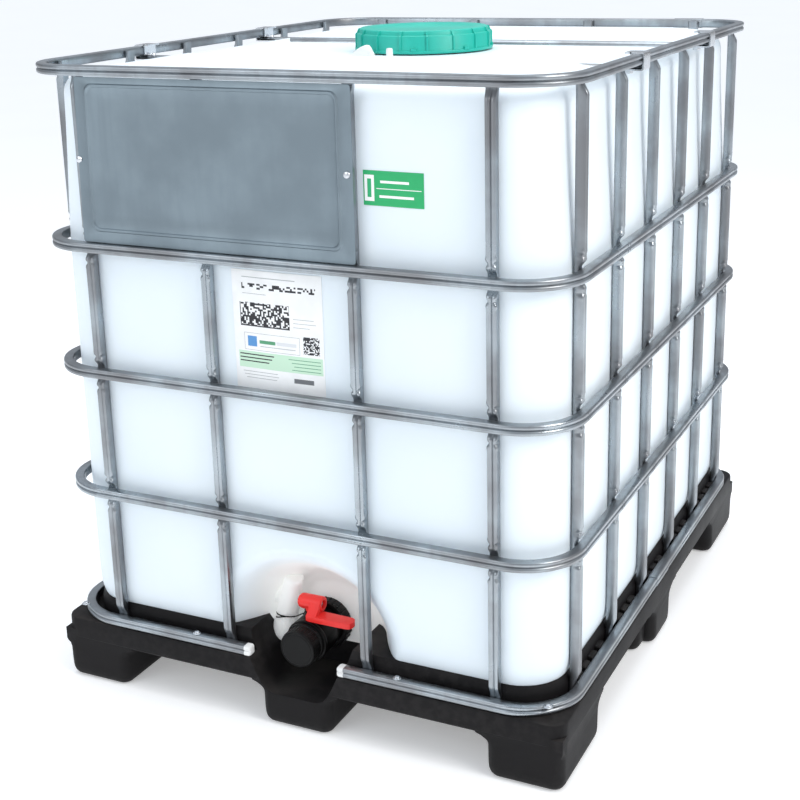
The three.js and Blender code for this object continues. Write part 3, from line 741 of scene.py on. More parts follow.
def post_shape():
    """An upright in its own frame: outer side at y = 0, depth along +y, width along x."""
    levels = [HOOPS[n] for n in ("lower", "middle", "upper")]
    heights = {126.6, 1156.0}
    for z in range(128, 180, 3):
        heights.add(float(z))
    for z in range(1110, 1156, 3):
        heights.add(float(z))
    for level in levels:
        for i in range(-46, 47, 2):
            heights.add(level + i)
    for z in range(190, 1110, 60):
        if all(abs(z - level) > 50 for level in levels):
            heights.add(float(z))
    rings = []
    for z in sorted(heights):
        pressed = post_depth(z)
        front = 10.0 + 8.3 * pressed
        back = 27.0
        end = max(smoothstep(1118, 1150, z), 1.0 - smoothstep(128, 160, z))
        half = 8.75 + 2.2 * end
        groove = 2.6 * (1.0 - pressed) + 1.2 * end
        pinch = 0.0
        for level in levels:
            for side in (-1, 1):
                pinch = max(pinch, math.exp(-(((z - level - side * 29.0) / 3.2) ** 2)))
        edge = half - 2.3 * pinch
        lip = front + 2.2 * pinch
        swell = 0.9 * sum(math.exp(-(((z - level - side * 37.0) / 3.0) ** 2)) for level in levels
                          for side in (-1, 1))
        ring = [
            (0.0, front + groove), (1.2, front + groove * 0.62), (2.4, front + groove * 0.15), (3.4, front),
            (edge - 2.6, lip - 0.2 * swell), (edge - 0.9 + swell * 0.6, lip + 0.7), (edge + swell, lip + 2.6),
            (half, back - 5.0), (half - 0.7, back - 1.6), (half - 2.6, back), (3.0, back), (0.0, back),
        ]
        ring = ring + [(-x, d) for x, d in reversed(ring[1:-1])]
        if end > 0.35:
            ring = [(x, min(d, 27.0)) for x, d in ring]
        rings.append([(x, d, z) for x, d in ring])
    return loft(rings, cap_start=True, cap_end=True)


def cage_posts(steel):
    verts, faces = post_shape()
    spots = [(f"post_front_{i + 1}", x, -HALF_Y, 0.0) for i, x in enumerate(FRONT_POSTS)]
    spots += [(f"post_back_{i + 1}", x, HALF_Y, 180.0) for i, x in enumerate(FRONT_POSTS)]
    spots += [(f"post_left_{i + 1}", -HALF_X, y, -90.0) for i, y in enumerate(SIDE_POSTS)]
    spots += [(f"post_right_{i + 1}", HALF_X, y, 90.0) for i, y in enumerate(SIDE_POSTS)]
    for node, cx, cy, angle in spots:
        c, s = round(math.cos(math.radians(angle))), round(math.sin(math.radians(angle)))
        placed = [(cx + x * c - y * s, cy + x * s + y * c, z) for x, y, z in verts]
        piece(f"{node}_tube", placed, faces, steel, nodes=[node], slot="cage_steel", smooth=40)


def weld_marks(steel):
    """Small pressed weld spots in the hoops where each upright crosses."""
    dot = turned([(0.0, -0.6), (1.9, -0.5), (2.0, 0.15), (1.1, 0.6), (0.0, 0.75)], 10, axis="y")
    places = []
    for name in ("lower", "middle", "upper"):
        level = HOOPS[name]
        for dx in (-5.5, 5.5):
            for dz in (-4.6, 4.6):
                places += [(x + dx, -HALF_Y - 0.1, level + dz, 0, 0, 0) for x in FRONT_POSTS]
                places += [(x + dx, HALF_Y + 0.1, level + dz, 0, 0, 180) for x in FRONT_POSTS]
                places += [(HALF_X + 0.1, y + dx, level + dz, 0, 0, 90) for y in SIDE_POSTS]
                places += [(-HALF_X - 0.1, y + dx, level + dz, 0, 0, -90) for y in SIDE_POSTS]
    repeat("weld_marks", dot, places, steel)


def hoop_screws(zinc):
    """Pan-head screws that hold the base hoop to the pallet, one mesh for each."""
    top = HOOPS["base"] + 8.75
    head = turned([(0.0, 0.2), (7.6, 0.2), (7.8, 0.9), (7.0, 1.6), (5.4, 1.8), (5.2, 3.2), (4.2, 4.1),
                   (2.0, 4.4), (0.0, 4.4)], 24)
    spots = {"left_corner": (-466, -575), "left": (-204, -591), "right": (200, -591),
             "right_corner": (466, -575)}
    for name, (x, y) in spots.items():
        repeat(f"base_screw_{name}", head, [(x, y, top, 0, 0, 0)], zinc, nodes=[f"hoop_screw_{name}"])


def cross_tubes(steel, zinc):
    """Two tubes under the top rail, flattened at the ends, each held by a wrapped clamp and a bolt."""
    for name, y in (("front", -221.0), ("rear", 225.0)):
        rings = []
        stations = [(-496, 1), (-470, 1), (-455, 0.9), (-440, 0.5), (-425, 0.1), (-410, 0), (410, 0),
                    (425, 0.1), (440, 0.5),
                    (455, 0.9), (470, 1), (496, 1)]
        for x, flat in stations:
            ring = []
            for i in range(20):
                angle = 2 * math.pi * i / 20
                wide = 9.0 + 3.4 * flat
                high = 9.0 - 5.8 * flat
                ring.append((float(x), y + wide * math.cos(angle), 1141.6 - high + high * math.sin(angle)))
            rings.append(ring)
        piece(f"cross_tube_{name}_round", *loft(rings, cap_start=True, cap_end=True), steel,
              nodes=[f"cross_tube_{name}"], slot="cage_steel", smooth=50)
        for side, word in ((-1, "left"), (1, "right")):
            clamp(name, word, side, y, zinc)


def clamp(name, word, side, y, zinc):
    over, under, face, sheet = 1160.3, 1135.5, 500.3, 2.4
    mid = [(470, over), (face - 3, over), (face - 0.9, over - 0.9), (face, over - 3),
           (face, under + 3), (face - 0.9, under + 0.9), (face - 3, under), (460, under)]
    back = [(460, under - sheet), (face - 1.5, under - sheet), (face + 1.5, under - 1.5),
            (face + sheet, under + 1.5),
            (face + sheet, over - 1.5), (face + 1.5, over + 1.5), (face - 1.5, over + sheet),
            (470, over + sheet)]
    profile = mid + back
    rings = []
    for dy in (-18.0, -17.0, 17.0, 18.0):
        rings.append([(side * x, y + dy, z) for x, z in profile])
    inner = block(min(side * 478.6, side * 481.4), max(side * 478.6, side * 481.4), y - 18, y + 18, 1143.0,
                  1162.6)
    piece(f"clamp_{name}_{word}_strap", *merge([loft(rings, cap_start=True, cap_end=True), inner]), zinc,
          nodes=[f"clamp_{name}_{word}"], slot="zinc_fittings", smooth=35)
    bolt = merge([
        turned([(0, -6), (6.6, -6), (7.4, -5), (7.4, -0.2), (0, -0.2)], 6, (side * 472, y, 1132.8)),
        turned([(0, -1), (9.0, -1), (9.0, 0.0), (0, 0.0)], 24, (side * 472, y, 1133.0)),
        turned([(0, 0), (4, 0), (4, 11), (3.2, 12.4), (0, 12.4)], 16, (side * 472, y, 1133.4)),
    ])
    piece(f"clamp_bolt_{name}_{word}_hex", *bolt, zinc, nodes=[f"clamp_bolt_{name}_{word}"],
          slot="zinc_fittings", smooth=30)


# ---------------------------------------------------------------- bottle

RIM_X, RIM_Y = 472.0, 572.0
SIDE_TAPER = 16.0
TAPER_FROM, TAPER_TO = 790, 1130
PLATE_LEAN, PLATE_FOOT = 0.026, 860.0
RECESS_CENTRE = (18.0, 168.0)
RECESS_WIDTH, RECESS_HEIGHT, RECESS_DEPTH = 185.0, 164.0, 116.0
RECESS_CURVE = ((0.0, 1.0), (0.38, 1.0), (0.50, 0.93), (0.58, 0.80), (0.68, 0.52), (0.76, 0.32), (0.84, 0.15),
                (0.92, 0.045), (1.0, 0.0))


def recess_depth(x, z):
    """How far the front wall is scooped in round the valve."""
    across = (x - RECESS_CENTRE[0]) / RECESS_WIDTH
    up = max(0.0, z - RECESS_CENTRE[1]) / RECESS_HEIGHT
    reach = math.hypot(across, up)
    if reach >= 1.0:
        return 0.0
    for (r0, d0), (r1, d1) in zip(RECESS_CURVE, RECESS_CURVE[1:]):
        if reach <= r1:
            t = (reach - r0) / (r1 - r0)
            return RECESS_DEPTH * (d0 + (d1 - d0) * t)
    return 0.0


def bay_swell(along, posts, height):
    """The wall swells a little between the uprights."""
    for a, b in zip(posts, posts[1:]):
        if a <= along <= b:
            t = (along - a) / (b - a)
            window = smoothstep(170, 300, height) * (1.0 - smoothstep(1010, 1120, height))
            return math.sin(math.pi * t) ** 2 * window
    return 0.0


def front_wall(x, z):
    """y of the bottle's front face at (x, z)."""
    swell = 3.2 * bay_swell(x, FRONT_POSTS, z)
    scoop = recess_depth(x, z)
    return -BOTTLE_Y + scoop if scoop > 0.01 else -BOTTLE_Y - swell


def top_height(x, y):
    """The bottle's top: raised pads in front and behind, channels for the cross tubes, flat round the neck."""
    edge = min(BOTTLE_X - 34 - abs(x), BOTTLE_Y - 34 - abs(y))
    rise = smoothstep(-6, 90, edge)
    pad = max(smoothstep(-238, -262, y), smoothstep(242, 266, y))
    z = BOTTLE_TOP + 12.0 * rise * pad
    for tube, reach in ((-221.0, 24.0), (225.0, 96.0)):
        behind = tube - y if reach > 50 and y < tube else abs(y - tube)
        z -= (z - 1121.0) * (1.0 - smoothstep(12.0, reach if y < tube else 24.0, behind))
    return z


def bottle_outline():
    """Points round the bottle, closer together across the valve recess."""
    points = []
    a, b = BOTTLE_X - BOTTLE_CORNER, BOTTLE_Y - BOTTLE_CORNER
    xs = []
    x = 0.0
    while x < a:
        xs.append(x)
        x += 5.0 if x < 215 else 11.0
    points += [(x, -BOTTLE_Y, 0.0, -1.0) for x in xs]
    for cx, cy, start in ((a, -b, -90), (a, b, 0), (-a, b, 90), (-a, -b, 180)):
        for i in range(13):
            angle = math.radians(start + 90.0 * i / 12)
            nx, ny = math.cos(angle), math.sin(angle)
            points.append((cx + BOTTLE_CORNER * nx, cy + BOTTLE_CORNER * ny, nx, ny))
        if start == -90:
            points += [(BOTTLE_X, -b + 2 * b * i / 60, 1.0, 0.0) for i in range(1, 60)]
        if start == 0:
            points += [(a - 2 * a * i / 48, BOTTLE_Y, 0.0, 1.0) for i in range(1, 48)]
        if start == 90:
            points += [(-BOTTLE_X, b - 2 * b * i / 60, -1.0, 0.0) for i in range(1, 60)]
    points += [(-x, -BOTTLE_Y, 0.0, -1.0) for x in reversed(xs[1:])]
    return points


def bottle_shell(plastic):
    ring_points = bottle_outline()
    stations = []
    for i in range(15):
        angle = math.radians(90.0 * i / 14)
        stations.append((BOTTLE_FLOOR + 90 * (1 - math.cos(angle)), 60 * (1 - math.sin(angle))))
    z = BOTTLE_FLOOR + 96.0
    while z < BOTTLE_TOP - 40:
        stations.append((z, 0.0))
        z += 6.0 if z < 345 else 22.0
    for i in range(9):
        angle = math.radians(90.0 * i / 8)
        stations.append((BOTTLE_TOP - 34 + 34 * math.sin(angle), 34 * (1 - math.cos(angle))))
    rings = []
    for z, inset in stations:
        ring = []
        taper = 1.0 - SIDE_TAPER * smoothstep(TAPER_FROM, TAPER_TO, z) / BOTTLE_X
        for x, y, nx, ny in ring_points:
            px, py = (x - nx * inset) * taper, y - ny * inset
            if ny == 0.0:
                px += nx * 5.0 * bay_swell(y, SIDE_POSTS, z)
            elif nx == 0.0:
                py += ny * 3.2 * bay_swell(x, FRONT_POSTS, z)
            if py < 0:
                scoop = recess_depth(px, z)
                if scoop > 0.01:
                    py = max(py, -BOTTLE_Y + scoop)
            ring.append((px, py, z))
        rings.append(ring)
    edge = rings[-1]
    steps = 44
    for i in range(1, steps + 1):
        t = i / steps
        ring = []
        for x, y, _ in edge:
            angle = math.atan2(y / BOTTLE_Y, x / BOTTLE_X)
            cx, cy = 114 * math.cos(angle), 114 * math.sin(angle)
            px, py = x + (cx - x) * t, y + (cy - y) * t
            ring.append((px, py, top_height(px, py)))
        rings.append(ring)

    def neck_ring(radius, z):
        out = []
        for x, y, _ in edge:
            angle = math.atan2(y / BOTTLE_Y, x / BOTTLE_X)
            out.append((radius * math.cos(angle), radius * math.sin(angle), z))
        return out

    for radius, z in ((112.5, 1141.5), (112, 1144), (112, 1168), (111, 1169.6), (105, 1170),
                      (103.4, 1168.5), (103, 1120)):
        rings.append(neck_ring(radius, z))
    rings.append(neck_ring(0.5, 1118.0))
    foot = []
    for t in (0.75, 0.4, 0.02):
        foot.append([(x * t, y * t, BOTTLE_FLOOR) for x, y, _ in rings[0]])
    rings = list(reversed(foot)) + rings
    body = loft(rings, cap_start=True, cap_end=True)
    piece("bottle_shell", *body, plastic, nodes=["bottle"], slot="bottle_plastic", smooth=180)


def moulded_spout(plastic):
    """The outlet stub and the upright moulded column beside it."""
    stub = turned([(24, 474), (39, 474), (40, 472), (40, 452), (24, 452)], 40, (0, 0, OUTLET_Z), "y")
    rings = []
    for z, radius, across, push in ((106, 8, -80, 3), (109, 12, -80.5, 1), (115, 17, -81, 0.5),
                                    (124, 21.4, -80, 0),
                                    (138, 23.6, -77.5, 0), (152, 23.0, -74.5, 0), (160, 21.4, -72.5, 0),
                                    (165, 21.0, -71, 0),
                                    (170, 21.8, -70, 0), (182, 22.2, -67, 0), (205, 20.6, -61.5, 0),
                                    (226, 18.8, -57, 0),
                                    (238, 17.8, -54.5, 0), (243, 16.4, -53.5, 1), (244.5, 12, -53, 3),
                                    (244, 6, -53, 5)):
        ring = []
        for i in range(36):
            angle = 2 * math.pi * i / 36
            behind = max(0.0, math.sin(angle))
            x = across + radius * math.cos(angle) * (1.0 - 0.3 * behind)
            y = -488 + push + radius * math.sin(angle) * (1.0 + 0.5 * behind)
            ledge = smoothstep(-14, 14, x - across) * smoothstep(232, 243, z)
            ring.append((x, y, z - 9.0 * ledge))
        rings.append(ring)
    column = loft(rings, cap_start=True, cap_end=True)
    fold = []
    for across, depth, level, radius in ((-62, -486, 214, 13), (-74, -486, 205, 18), (-88, -483, 197, 19.5),
                                         (-102, -477, 191, 17), (-113, -470, 188, 12.5),
                                         (-121, -464, 187, 6)):
        fold.append([(across + 0.35 * radius * math.cos(a), depth + 0.75 * radius * math.sin(a),
                      level + radius * math.cos(a))
                     for a in [2 * math.pi * i / 24 for i in range(24)]])
    web = loft(fold, cap_start=True, cap_end=True)
    piece("outlet_stub", *stub, plastic, slot="bottle_plastic", smooth=60)
    piece("moulded_column", *merge([column, web]), plastic, nodes=["bottle_column"], slot="bottle_plastic",
          smooth=70)


# ---------------------------------------------------------------- lid

def lid(plastic, rubber, white):
    profile = [(0, 1181.2), (96, 1181.2), (98, 1182.6), (106, 1183.8), (119, 1184), (121.5, 1183.2),
               (123, 1181.4),
               (123.4, 1177), (124.2, 1175.6), (127.2, 1174.8), (128.3, 1173.4), (128.5, 1150),
               (129.2, 1148.6),
               (131.6, 1148), (132, 1147), (132, 1143.4), (131.4, 1142.6), (117.5, 1142.5), (116.5, 1143.2),
               (116, 1175), (0, 1175)]
    cap = turned([(r, z) for r, z in profile], 120)
    piece("lid_shell", *cap, plastic, body="lid", nodes=["lid"], slot="lid_plastic", smooth=40)
    rib_profile = [(122, 1147), (131.2, 1147), (131.2, 1171.5), (130.4, 1174), (127.6, 1176.2),
                   (126.4, 1179.5),
                   (124.8, 1182.8), (121.6, 1183.6)]
    thin, wide = 1.9, 2.7
    rings = [[(r, s * (thin if r > 127 else wide), z) for r, z in rib_profile] for s in (-1, 1)]
    rib = loft(rings, cap_start=True, cap_end=True)
    places = [(0, 0, 0, 0, 0, i * 360 / 16 + 5.0) for i in range(16)]
    repeat("lid_ribs", rib, places, plastic, body="lid", smooth=30)
    stop = block(128, 132.8, -4.6, 4.6, 1147.4, 1153)
    repeat("lid_stops", stop, [(0, 0, 0, 0, 0, i * 45 + 16.25) for i in range(8)], plastic, body="lid",
           smooth=30)
    gasket = [(104.5, 1170.4), (110, 1170.4), (110.6, 1171.4), (110.6, 1173.6), (110, 1174.6),
              (104.5, 1174.6), (104, 1172.5)]
    rings = [[(r * math.cos(2 * math.pi * i / 72), r * math.sin(2 * math.pi * i / 72),
               z) for i in range(72)] for r, z in gasket]
    piece("lid_gasket_ring", *loft(rings, loop=True), rubber, body="lid_ring", nodes=["lid_gasket"],
          slot="seal_rubber")
    lug = [(-78, 1139), (-74, 1147), (-66, 1152.5), (-58, 1157), (-50, 1160), (-44, 1159.6), (-40, 1155),
           (-36, 1147), (-32, 1139)]
    rings = [[(x, y, z) for x, z in lug] for y in (-153.5, -152, -144, -142.5)]
    rings[0] = [(x * 0.98 - 1.1, y, 1139 + (z - 1139) * 0.93) for x, y, z in rings[0]]
    rings[3] = [(x * 0.98 - 1.1, y, 1139 + (z - 1139) * 0.93) for x, y, z in rings[3]]
    peg = turned([(0, -2), (7.4, -2), (6.4, 3), (6, 12), (5, 14.6), (0, 15.2)], 24, (3, -157, 1141))
    piece("lid_lock", *merge([loft(rings, cap_start=True, cap_end=True), peg]), white,
          nodes=["lid_lock_lug"], slot="white_plastic", smooth=50)


# ---------------------------------------------------------------- pallet

def foot_shape(x0, x1, y0, y1):
    """A hollow-moulded foot: rounded sole, and a fillet where it runs into the deck."""
    rings = []
    for z, inset in ((0.0, 17.0), (1.2, 11.0), (4.0, 6.4), (9.0, 3.0), (15.0, 1.2), (24.0, 0.4),
                     (58.0, 0.0), (66.0, -1.5),
                     (72.0, -5.0), (77.0, -11.0), (81.0, -20.0), (100.0, -20.0)):
        half_x, half_y = (x1 - x0) / 2 - inset, (y1 - y0) / 2 - inset
        cx, cy = (x0 + x1) / 2, (y0 + y1) / 2
        corner = max(6.0, 20.0 - inset * 0.6)
        rings.append([(max(-499.4, min(499.4, cx + x)), max(-599.4, min(599.4, cy + y)), z)
                      for x, y, _, _ in outline(half_x, half_y, corner, 6)])
    return loft(rings, cap_start=True, cap_end=True)


def pallet(plastic):
    deck_rings = []
    for z, inset in ((74, 26), (76, 14), (80, 6), (83.5, 1.6), (86, 0), (119.5, 0), (123.6, 1.2),
                     (125.5, 4.5)):
        deck_rings.append([(x - nx * inset, y - ny * inset, z) for x, y, nx,
                           ny in outline(HALF_X, HALF_Y, 30, 8)])
    deck = loft(deck_rings, cap_start=True, cap_end=True)
    feet = []
    for y0, y1 in ((-600, -400), (-60, 60), (395, 600)):
        feet.append(foot_shape(-70, 70, y0, y1))
        feet += [foot_shape(363, 500, y0, y1), foot_shape(-500, -363, y0, y1)]
    for side in (-1, 1):
        for x0, x1, y0, y1 in ((341, 478, -480, -400), (341, 478, 395, 480), (363, 480, -103, 103)):
            feet.append(foot_shape(min(side * x0, side * x1), max(side * x0, side * x1), y0, y1))
    feet += [foot_shape(-86, 86, -482, -400), foot_shape(-86, 86, 395, 482)]
    rim_rings = []
    for z, inset in ((110, 0), (147, 0), (151, 1.4), (160, 4.6), (162.4, 5.4), (163, 6.4)):
        rim_rings.append([(x - nx * inset, y - ny * inset, z) for x, y, nx,
                          ny in outline(RIM_X, RIM_Y, BOTTLE_CORNER, 12)])
    rim = loft(rim_rings, cap_start=True, cap_end=True)
    pan_rings = []
    for z, inset in [(BOTTLE_FLOOR - 0.6 + 90 * (1 - math.cos(math.radians(a))),
                      60 * (1 - math.sin(math.radians(a))))
                     for a in range(0, 91, 9)] + [(260, 0)]:
        ring = []
        for x, y, nx, ny in outline(BOTTLE_X + 0.6, BOTTLE_Y + 0.6, BOTTLE_CORNER, 12, 8.0):
            px, py = x - nx * inset, y - ny * inset
            if py < 0:
                py = max(py, -BOTTLE_Y - 0.6 + recess_depth(px, min(z, 163.0)))
            ring.append((px, py, z))
        pan_rings.append(ring)
    pan = loft(pan_rings, cap_start=True, cap_end=True)
    right = [(40, 63), (48, 64.2), (56, 68.4), (63, 75), (69, 84), (75, 95), (80, 106), (85, 117),
             (90, 128), (95, 139),
             (99, 150), (102, 161), (103.5, 175)]
    notch_outline = right + [(-x, z) for x, z in reversed(right)]
    notch = loft([[(x, y, z) for x, z in notch_outline] for y in (-640, -452)], cap_start=True, cap_end=True)
    mesh = fuse("pallet_body", [deck] + feet + [rim], [pan, notch])
    obj = finish_mesh("pallet_body", mesh, plastic, nodes=["pallet"],
                      fix_normals=False)
    soft_edges(obj, 2.2, 2, 32.0)


def castellations(plastic):
    """The row of blocks along the pallet's sides and back, between the base hoop and the cradle."""
    tooth = block(-13, 13, -5.5, 5.5, 0, 19)
    places = []
    for i in range(-12, 13):
        y = i * 38.0
        if all(abs(y - p) > 22 for p in SIDE_POSTS):
            places += [(s * 476.5, y, 125.0, 0, 0, 90) for s in (-1, 1)]
    for i in range(-9, 10):
        x = i * 38.0
        if all(abs(x - p) > 22 for p in FRONT_POSTS):
            places.append((x, 576.5, 125.0, 0, 0, 0))
    obj = repeat("deck_blocks", tooth, places, plastic, smooth=30)
    soft_edges(obj, 1.5, 1, 40.0)


# ---------------------------------------------------------------- valve

def grips(name, count, radius, length, start, plastic, body, high=1.6, wide=2.2):
    rib = loft([[(x, start + y, z) for x, z in ((radius - 1.0, -wide), (radius + high, -wide * 0.6),
                                                                (radius + high, wide * 0.6),
                                                                (radius - 1.0, wide))]
                for y in (0.0, length)], cap_start=True, cap_end=True)
    places = [(0, 0, OUTLET_Z, 0, i * 360 / count, 0) for i in range(count)]
    return repeat(name, rib, places, plastic, body=body, smooth=30)


def union_nut(plastic):
    ring = turned([(38, 482), (43.4, 482), (45.4, 481), (46, 478.6), (46, 460), (45, 458), (41.6, 458),
                   (41.6, 478.4),
                   (38, 478.4)], 72, (0, 0, OUTLET_Z), "y", cap=False)
    piece("union_nut_ring", *closed_profile(ring, 72), plastic, nodes=["union_nut"], slot="valve_plastic")
    grips("union_nut_grips", 26, 45.5, 17.0, -478.0, plastic, "container", 2.0, 2.4)


def closed_profile(part, count):
    """Joins a turned profile's last ring to its first."""
    verts, faces = part
    last = len(verts) - count
    faces += [(last + j, last + (j + 1) % count, (j + 1) % count, j) for j in range(count)]
    return verts, faces


def valve_body(plastic):
    shell = turned([(23.5, 576), (30.2, 576), (31.2, 575), (31.2, 551), (33.6, 549.6), (35, 548), (38, 540),
                    (39, 537),
                    (39, 506), (38.4, 502), (37, 497), (37, 478), (41.2, 478), (41.2, 474.3), (23.5, 474.3)],
                   72, (0, 0, OUTLET_Z), "y", cap=False)
    tower = turned([(0, 20), (17, 20), (17, 40), (15.6, 42), (15, 43.4), (15, 47.6), (14.2, 48.4),
                    (0, 48.4)], 40,
                   (0, STEM_Y, OUTLET_Z))
    shoulder = turned([(38.0, 548.6), (39.2, 548), (39.6, 546.6), (39.6, 542), (38.8, 540.6),
                       (34.0, 540.6)], 72,
                      (0, 0, OUTLET_Z), "y")
    threads = [turned([(30.8, y + 1.6), (31.9, y + 0.5), (31.9, y - 0.5), (30.8, y - 1.6)], 56,
                      (0, 0, OUTLET_Z), "y")
               for y in (556.0, 562.0, 568.0)]
    piece("valve_housing", *merge([closed_profile(shell, 72), tower, shoulder] + threads), plastic,
          nodes=["valve_body"],
          slot="valve_plastic")


def disc_and_stem(white):
    """A round gate moulded in one with its stem."""
    plate = turned([(0, 516.6), (21.4, 516.6), (22.8, 517.8), (22.8, 520.2), (21.4, 521.4), (0, 521.4)], 48,
                   (0, 0, OUTLET_Z), "y")
    spine = turned([(0, -20), (6.4, -20), (7.4, -18.6), (7.4, 18.6), (6.4, 20), (0, 20)], 32,
                   (0, STEM_Y, OUTLET_Z))
    piece("butterfly_disc", *merge([plate, spine]), white, body="handle", nodes=["valve_disc"],
          slot="white_plastic")
    stem = turned([(0, -30.4), (3.4, -30.4), (4, -29.6), (4, 69.6), (0, 70)], 24, (0, STEM_Y, OUTLET_Z))
    piece("stem_rod", *stem, white, body="handle", slot="white_plastic")


def along_x(profile, segments, y, z):
    """A turned shape whose axis lies across the valve."""
    verts, faces = turned(profile, segments)
    return [(h, y + r1, z + r2) for r1, r2, h in verts], faces


def handle(plastic, zinc):
    """A barrel-shaped hub lying across the stem, with a flat lever hung from its front."""
    hub_z = 213.0
    barrel = along_x([(0, -27), (6, -27), (9.5, -26), (12.4, -23.4), (13.6, -20), (14, -16), (14, 19),
                      (13.4, 21.2),
                      (12, 22), (0, 22)], 40, STEM_Y, hub_z)
    base = turned([(0, 0), (12.6, 0), (13, 0.6), (13, 16), (0, 16)], 36, (0, STEM_Y, 198.3))
    lever = [(3, -29), (5, -31), (60, -31), (82, -30.4), (88, -28), (91, -22), (91, -14), (88, -7.5),
             (82, -4.6), (24, -3),
             (17.5, -16), (3, -16)]
    arm = loft([[(x, STEM_Y + y, z) for x, y in lever] for z in (190.8, 201.0)], cap_start=True, cap_end=True)
    side = [(-31, 192), (-16, 192), (-16, 198.3), (0, 198.3), (0, 225), (-6, 226), (-13, 219), (-22, 208),
            (-31, 200.6)]
    web = loft([[(x, STEM_Y + y, z) for y, z in side] for x in (2, 21)], cap_start=True, cap_end=True)
    bore = turned([(0, -60), (4.2, -60), (4.2, 19.6), (0, 19.6)], 24, (0, STEM_Y, 200.0))
    pocket = along_x([(0, 15), (8, 15), (8.6, 30), (0, 30)], 28, STEM_Y, hub_z)
    screw_way = along_x([(0, 1), (2.9, 1), (2.9, 30), (0, 30)], 20, STEM_Y, hub_z)
    mesh = fuse("lever_arm", [barrel, base, arm, web], [bore, pocket, screw_way])
    obj = finish_mesh("lever_arm", mesh, plastic, body="handle", nodes=["valve_handle"],
                      fix_normals=False)
    soft_edges(obj, 2.2, 4, 32.0)
    shank = along_x([(0, 4.4), (2.6, 4.4), (2.6, 17), (0, 17)], 20, STEM_Y, hub_z)
    head = along_x([(0, 15.3), (4.8, 15.3), (5.6, 16.4), (5.4, 17.6), (4.2, 18.3), (0, 18.3)], 28, STEM_Y,
                   hub_z)
    piece("lever_screw", *merge([shank, head]), zinc, body="handle", nodes=["handle_screw"],
          slot="zinc_fittings")


def dust_cap(plastic, rubber):
    shell = turned([(0, 583), (28.6, 583), (29.4, 582.3), (31.6, 582.8), (33.6, 581.6), (34.5, 579.4),
                    (34.5, 558.4),
                    (34.9, 557.6), (36.4, 557.0), (37, 556.2), (37, 553.8), (36.2, 553), (32.6, 553),
                    (32.2, 553.6),
                    (32.2, 580), (0, 580)], 72, (0, 0, OUTLET_Z), "y")
    piece("cap_shell", *shell, plastic, body="cap", nodes=["dust_cap"], slot="valve_plastic")
    grips("cap_grips", 36, 34.4, 18.0, -577.5, plastic, "cap", 0.8, 1.2)
    seal = turned([(0, 579.6), (30.4, 579.6), (31, 579), (31, 577), (30.4, 576.4), (0, 576.4)], 40,
                  (0, 0, OUTLET_Z), "y")
    piece("cap_seal_disc", *seal, rubber, body="cap_ring", nodes=["cap_seal"], slot="seal_rubber")


def neck_tie(plastic):
    """A thin tie pulled round the moulded column and back to the valve, with its tail."""
    curve = bpy.data.curves.new("tie_strap", "CURVE")
    curve.dimensions = "3D"
    curve.bevel_depth = 1.2 * MM
    curve.bevel_resolution = 3
    curve.use_fill_caps = True
    loop = []
    for i in range(17):
        angle = math.radians(176 + 150 * i / 16)
        loop.append((-68.0 + 23.4 * math.cos(angle), -488.0 + 23.6 * math.sin(angle),
                     164.0 - 4.0 * math.sin(angle)))
    loop += [(-42, -506, 171), (-32, -514, 179), (-22, -519, 186), (-16, -520.5, 189)]
    tail = [(-93, -494, 156), (-86, -506, 160), (-78, -512.4, 164), (-68, -513.2, 167.4),
            (-58, -511.5, 168.5)]
    for points in (loop, tail):
        spline = curve.splines.new("POLY")
        spline.points.add(len(points) - 1)
        for point, (x, y, z) in zip(spline.points, points):
            point.co = (x * MM, y * MM, z * MM, 1.0)
    holder = bpy.data.objects.new("tie_curve", curve)
    bpy.context.scene.collection.objects.link(holder)
    bpy.context.view_layer.update()
    mesh = bpy.data.meshes.new_from_object(holder.evaluated_get(bpy.context.evaluated_depsgraph_get()))
    bpy.data.objects.remove(holder)
    finish_mesh("tie_strap", mesh, plastic, nodes=["neck_tie"], smooth=60)


# ---------------------------------------------------------------- plate and labels

